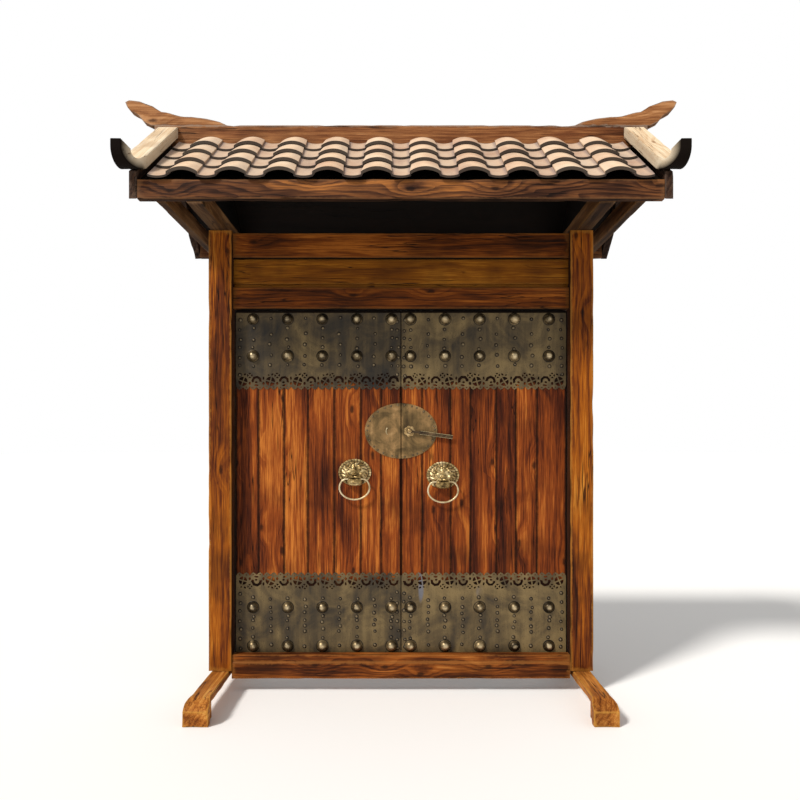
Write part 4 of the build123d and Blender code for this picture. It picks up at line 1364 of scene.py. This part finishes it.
def halfPlate(side, seed):
    flip = -1 if side == "left" else 1
    node = side + "_lock_plate"
    work = opened(plateShape)
    sliceOff(work, (flip * leftEdge, 0, 0), (-flip, 0, 0))
    mesh = newMesh(work, side + "_plate")
    showPiece(node + ".crimped", mesh, "plateMetal", side + "_leaf", [node])
    rng = random.Random(seed)
    places = []
    for i in range(lock["rimPins"]):
        turn = 2 * math.pi * (i + rng.uniform(-0.25, 0.25)) / lock["rimPins"]
        u = lock["pinRing"] * lock["halfWidth"] * math.cos(turn)
        v = lock["pinRing"] * lock["halfHeight"] * math.sin(turn)
        if flip * u > 0.012:
            places.append((u, lockBack - lock["thick"] + 0.0005, lock["z"] + v))
    pins = scatter(places, pinShape, "ironMetal", seed)
    showPiece(side + "PlatePins", pins, "ironMetal", side + "_leaf", smooth=60)


halfPlate("left", 61)
halfPlate("right", 62)
print("lock plate crimped")

# Knockers

knocker = {
    "half": (0.101, 0.083),
    "grid": (70, 240),
    "lobes": 30,
    "scallop": 0.022,
    "axisDrop": 0.040,
    "ringDrop": 0.052,
    "ringHalf": (0.092, 0.073),
    "ringOut": 0.035,
    "ringSteps": 56,
    "wire": 0.0055,
    "pinEnd": 0.037,
}


def bump(u, v, centre, size, lift):
    a, b = (u - centre[0]) / size[0], (v - centre[1]) / size[1]
    return lift * math.exp(-(a * a + b * b))


def ridge(u, v, start, end, width, lift):
    du, dv = end[0] - start[0], end[1] - start[1]
    t = max(0.0, min(1.0, ((u - start[0]) * du + (v - start[1]) * dv) / (du * du + dv * dv)))
    a, b = u - start[0] - du * t, v - start[1] - dv * t
    return lift * math.exp(-(a * a + b * b) / (width * width)) * (1 - 0.35 * t)


# the beast's features, mirrored, in millimetres from the face's middle: a ridge has its start, end,
# width and lift, and a bump its middle, size and lift
faceForms = (
    (ridge, (9, 15), (46, 33), 6.5, 9.0),  # brow
    (ridge, (30, 40), (52, 12), 6.0, 5.0),
    (bump, (26, 14), (12, 7), -7.0),  # eye
    (bump, (26, 12), (7.5, 6), 9.0),
    (bump, (27, 11), (2.4, 2.4), -4.0),
    (ridge, (0, 26), (0, -8), 8.0, 10.0),  # nose
    (bump, (0, -10), (13, 9), 13.0),
    (bump, (11, -13), (6, 5.5), 6.0),
    (bump, (6.5, -17), (2.6, 2.2), -6.0),
    (bump, (40, -10), (14, 13), 8.0),  # cheek
    (ridge, (44, -4), (24, -30), 5.5, 4.5),
)
muzzleForms = (
    (bump, (15, -27), (13, 9), 8.0),
    (ridge, (0, -37), (30, -35), 3.6, -11.0),  # mouth
    (bump, (20, -40), (3.2, 5), 5.0),  # tooth
    (bump, (0, -58), (18, 10), 6.0),  # chin
    (ridge, (0, -70), (26, -64), 3.0, -3.0),
    (ridge, (16, 44), (30, 60), 2.6, -3.0),  # mane
    (ridge, (0, 40), (0, 62), 2.6, -3.0),
)


def faceHeight(u, v, share):
    mm = 1000
    x, z = u * mm, v * mm
    side = abs(x)
    turn = math.atan2(v / knocker["half"][1], u / knocker["half"][0])
    beads = 0.55 + 0.45 * math.cos(turn * knocker["lobes"])
    rim = 6.0 + 2.6 * max(0.0, 1 - abs(share - 0.91) / 0.09) ** 0.5 * beads
    dome = 33 * math.sqrt(max(0.0, 1 - (share / 0.84) ** 2))
    curl = 3.2 * math.exp(-(((share - 0.70) / 0.10) ** 2)) * math.cos(turn * 15 + 14 * share)
    height = rim + dome + curl * (1 if z > -25 else 0.4)
    for form, *values in faceForms:
        height += form(side, z, *values)
    muzzle = 1 - (x / 49) ** 4 - ((z + 46) / 38) ** 4
    if muzzle > 0:
        height = max(height, 6 + 44 * muzzle**0.34 - 6 * (side / 48) ** 2)
    for form, *values in muzzleForms:
        height += form(side, z, *values)
    return min(height, 61.0) / mm


def faceOutline(turn):
    return 1 - knocker["scallop"] * (0.5 - 0.5 * math.cos(turn * knocker["lobes"]))


creaseDepth = 0.000095  # a hollow this deep is fully dark


def creaseOf(mesh):
    work = opened(mesh)
    work.normal_update()
    values = []
    for vert in work.verts:
        around = [e.other_vert(vert).co for e in vert.link_edges]
        middle = sum(around, Vector()) / max(1, len(around))
        values.append((middle - vert.co).dot(vert.normal))
    work.free()
    for _ in range(2):
        smooth = np.array(values)
        for edge in mesh.edges:
            a, b = edge.vertices
            smooth[a] += values[b]
            smooth[b] += values[a]
        values = smooth / 5
    return np.clip(np.array(values) / creaseDepth, 0, 1)


def knockerRing(side, x, z):
    drop = knocker["ringDrop"]
    centreZ = z - knocker["axisDrop"] - drop
    wide, tall = knocker["ringHalf"]
    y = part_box(side + "_leaf_boards")[0].y - knocker["ringOut"]
    end = math.asin(drop / tall)
    steps = knocker["ringSteps"]
    turns = [end - (math.pi + 2 * end) * i / steps for i in range(2, steps - 1)]
    corner = wide * math.cos(end)
    pin = [(knocker["pinEnd"], drop), (corner - 0.012, drop), (corner - 0.004, drop - 0.0012)]
    bow = [(wide * math.cos(a), tall * math.sin(a)) for a in turns]
    path = pin + bow + [(-u, v) for u, v in reversed(pin)]

    def thickness(u, v):
        if v > drop - 0.0015 and abs(u) < corner - 0.008:
            return 0.82
        return 1.0 + 0.05 * noise.noise(Vector((u * 60, v * 60, x)))

    points = [(x + u, y, centreZ + v) for u, v in path]
    mesh = wireMesh(points, [thickness(u, v) for u, v in path], knocker["wire"], 5)
    node = side + "_knocker_ring"
    showPiece(node + ".bent", mesh, "ringMetal", side + "_ring", [node], smooth=60)


for side in ("left", "right"):
    node = side + "_knocker_face"
    low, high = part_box(node)
    x, z = (low.x + high.x) / 2, high.z - knocker["half"][1]
    centre, half, grid = (x, z), knocker["half"], knocker["grid"]
    mesh = ovalRelief(side + "_mask", centre, half, faceHeight, high.y, grid, faceOutline)
    writeAttribute(mesh, "crease", creaseOf(mesh))
    showPiece(node + ".chased", mesh, "maskMetal", side + "_leaf", [node], smooth=80)
    knockerRing(side, x, z)
print("knockers chased")

# Latch

latch = {
    "x": 0.052,
    "z": 1.585,
    "droop": math.radians(8),
    "length": 0.28,
    "eye": 0.0168,
    "bore": 0.0061,
    "half": 0.0118,
    "shoulder": 0.0655,
    "rail": 0.0014,
    "petals": 7,
    "flower": 0.035,
    "flowerGrid": (14, 84),
    "knob": 0.013,
    "knobGrid": (12, 50),
    "notch": ((0.016, 1.0), (0.013, 0.86), (0.010, 1.0), (0.0, 1.0)),  # distances from the end, widths
    "collar": ((0.017, 0.0), (0.0172, 0.002), (0.0155, 0.0052), (0.0165, 0.0068), (0.0158, 0.0085)),
    "shank": ((0.0058, 0.0), (0.0058, 0.0235)),
}
# the neck's turnings, as half width and distance from the pivot
latchNeck = (
    (0.0085, 0.015), (0.0062, 0.021), (0.0080, 0.028), (0.0058, 0.036),
    (0.0078, 0.044), (0.0056, 0.052), (0.0078, 0.059),
)


def petalOutline(turn):
    return 0.84 + 0.16 * (0.5 + 0.5 * math.cos(turn * latch["petals"]))


def petalHeight(u, v, share):
    turn = math.atan2(v, u)
    petal = 0.5 + 0.5 * math.cos(turn * latch["petals"])
    return 0.002 + 0.0035 * (1 - share**2) + 0.0012 * petal * math.sin(math.pi * min(1, share * 1.05))


def knobHeight(u, v, share):
    turn = math.atan2(v, u)
    knot = 0.5 + 0.5 * math.cos(turn * 5 + 2.4 * share * 6)
    return 0.0058 * math.sqrt(max(0.0, 1 - share**2)) * (0.7 + 0.3 * knot) + 0.0002


def latchPost():
    face = lockBack - lock["thick"]
    centre = (latch["x"], latch["z"])
    flower = ((latch["flower"],) * 2, petalHeight, face, latch["flowerGrid"], petalOutline)
    knob = ((latch["knob"],) * 2, knobHeight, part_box("latch_post")[0].y + 0.006, latch["knobGrid"])
    parts = (
        (ovalRelief("flower", centre, *flower), (0, 0, 0)),
        (ovalRelief("knob", centre, *knob), (0, 0, 0)),
        (turnedMesh("collar", latch["collar"], 24), (latch["x"], face - 0.003, latch["z"])),
        (turnedMesh("shank", latch["shank"], 20), (latch["x"], face, latch["z"])),
    )
    joined = bmesh.new()
    for mesh, shift in parts:
        before = len(joined.verts)
        joined.from_mesh(mesh)
        joined.verts.ensure_lookup_table()
        for vert in joined.verts[before:]:
            vert.co += Vector(shift)
    mesh = newMesh(joined, "latchPost")
    writeAttribute(mesh, "crease", creaseOf(mesh))
    return mesh


mesh = latchPost()
showPiece("latch_post.knotted", mesh, "giltMetal", "right_leaf", ["latch_post"], smooth=60)


def barMesh():
    low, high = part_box("latch_bar")
    deep = high.y - low.y
    eye, half, end, rail = latch["eye"], latch["half"], latch["length"] - latch["half"], latch["rail"]
    turns = np.linspace(math.radians(40), math.radians(320), 25)
    head = [(eye * math.cos(a), eye * math.sin(a)) for a in turns]
    body = [(latch["shoulder"], half)] + [(end - back, half * share) for back, share in latch["notch"]]
    upper = [(s, h) for h, s in latchNeck] + body
    points = upper[::-1] + head + [(s, -h) for s, h in upper]
    turns = [2 * math.pi * k / 24 for k in range(24)]
    hole = [(latch["bore"] * math.cos(a), latch["bore"] * math.sin(a)) for a in turns]
    mesh = flatCurve(points, [hole], deep * 0.8, rail)
    work = opened(mesh)
    bmesh.ops.remove_doubles(work, verts=work.verts, dist=1e-5)
    for side in (-1, 1):
        edge = boxMesh(Vector((latch["shoulder"], -rail, 0)), Vector((end, rail, deep * 0.6)))
        bmesh.ops.bevel(edge, geom=edge.edges[:], offset=rail / 2, segments=2, affect="EDGES")
        for vert in edge.verts:
            vert.co.y += side * (half - rail)
            vert.co.z = -vert.co.z
        bmesh.ops.recalc_face_normals(edge, faces=edge.faces)
        work.from_mesh(newMesh(edge, "rail"))
    c, s = math.cos(-latch["droop"]), math.sin(-latch["droop"])
    middle = high.y - deep * 0.4
    for vert in work.verts:
        u, v, y = vert.co
        vert.co = Vector((latch["x"] + u * c - v * s, middle + y, latch["z"] + u * s + v * c))
    bmesh.ops.recalc_face_normals(work, faces=work.faces)
    closed(work, mesh)
    worn = [0.8 * math.exp(-max(0.0, v.co.y - low.y) / 0.0016) for v in mesh.vertices]
    writeAttribute(mesh, "wear", worn)
    return mesh


showPiece("latch_bar.forged", barMesh(), "latchMetal", "latch", ["latch_bar"])

keeper = {"wire": 0.0026, "bow": 0.0098, "turns": 16}
keeperLow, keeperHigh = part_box("left_keeper")
middleZ = (keeperLow.z + keeperHigh.z) / 2
reach = (keeperHigh.z - keeperLow.z) / 2 - keeper["wire"]
turns = [math.pi * i / keeper["turns"] for i in range(keeper["turns"] + 1)]
bowX, bowY = keeperHigh.x - keeper["wire"], keeperLow.y + keeper["wire"]
points = [(bowX - keeper["bow"] * math.sin(a), bowY, middleZ + reach * math.cos(a)) for a in turns]
mesh = wireMesh(points, [0.6 + 0.4 * math.sin(a) for a in turns], keeper["wire"], 4)
showPiece("left_keeper.bowed", mesh, "ringMetal", "left_leaf", ["left_keeper"], smooth=60)
for shape in (studShape, nailShape, pinShape):
    bpy.data.objects.remove(shape)
print("latch forged")

# Stage, light and camera

light = {
    "sky": 0.5,
    "skyTint": (1, 0.985, 0.96, 1),
    "sun": 3.0,
    "sunTint": (1.0, 0.96, 0.9),
    "sunTurn": (46, -6, -42),
    "softness": 10,
}
lens = {"length": 31.5, "sensor": 36, "shift": (-0.00125, 0.05625), "place": (0, -4.30, 1.50)}


def floorMaterial():
    material = bpy.data.materials.new("paleFloor")
    material.use_nodes = True
    tree = material.node_tree
    surface = tree.nodes["Principled BSDF"]
    surface.inputs["Base Color"].default_value = (0.97, 0.97, 0.97, 1)
    surface.inputs["Roughness"].default_value = 0.9
    return material


floorMesh = bpy.data.meshes.new("floor")
floorMesh.from_pydata([(-60, -40, 0), (60, -40, 0), (60, 120, 0), (-60, 120, 0)], [], [(0, 1, 2, 3)])
floor = bpy.data.objects.new("floor", floorMesh)
floorMesh.materials.append(floorMaterial())
scene.collection.objects.link(floor)

world = bpy.data.worlds.new("studio")
scene.world = world
world.use_nodes = True
tree = world.node_tree
tree.nodes.clear()
rays = tree.nodes.new("ShaderNodeLightPath")
seen = maths(tree, "MAXIMUM", rays.outputs["Is Camera Ray"], rays.outputs["Is Transmission Ray"])
sky = put(tree, "ShaderNodeBackground", {"Color": light["skyTint"], "Strength": light["sky"]})
backdrop = put(tree, "ShaderNodeBackground", {"Color": (1, 1, 1, 1), "Strength": 1.0})
chosen = put(tree, "ShaderNodeMixShader", {0: seen, 1: sky.outputs[0], 2: backdrop.outputs[0]})
last = tree.nodes.new("ShaderNodeOutputWorld")
tree.links.new(chosen.outputs[0], last.inputs["Surface"])

sunData = bpy.data.lights.new("sun", "SUN")
sunData.energy = light["sun"]
sunData.angle = math.radians(light["softness"])
sunData.color = light["sunTint"]
sun = bpy.data.objects.new("sun", sunData)
sun.rotation_euler = Euler([math.radians(a) for a in light["sunTurn"]])
scene.collection.objects.link(sun)

cameraData = bpy.data.cameras.new("camera")
cameraData.lens = lens["length"]
cameraData.sensor_width = lens["sensor"]
cameraData.shift_x, cameraData.shift_y = lens["shift"]
camera = bpy.data.objects.new("camera", cameraData)
camera.location = lens["place"]
camera.rotation_euler = (math.radians(90), 0, 0)
scene.collection.objects.link(camera)
scene.camera = camera

print("scene ready")
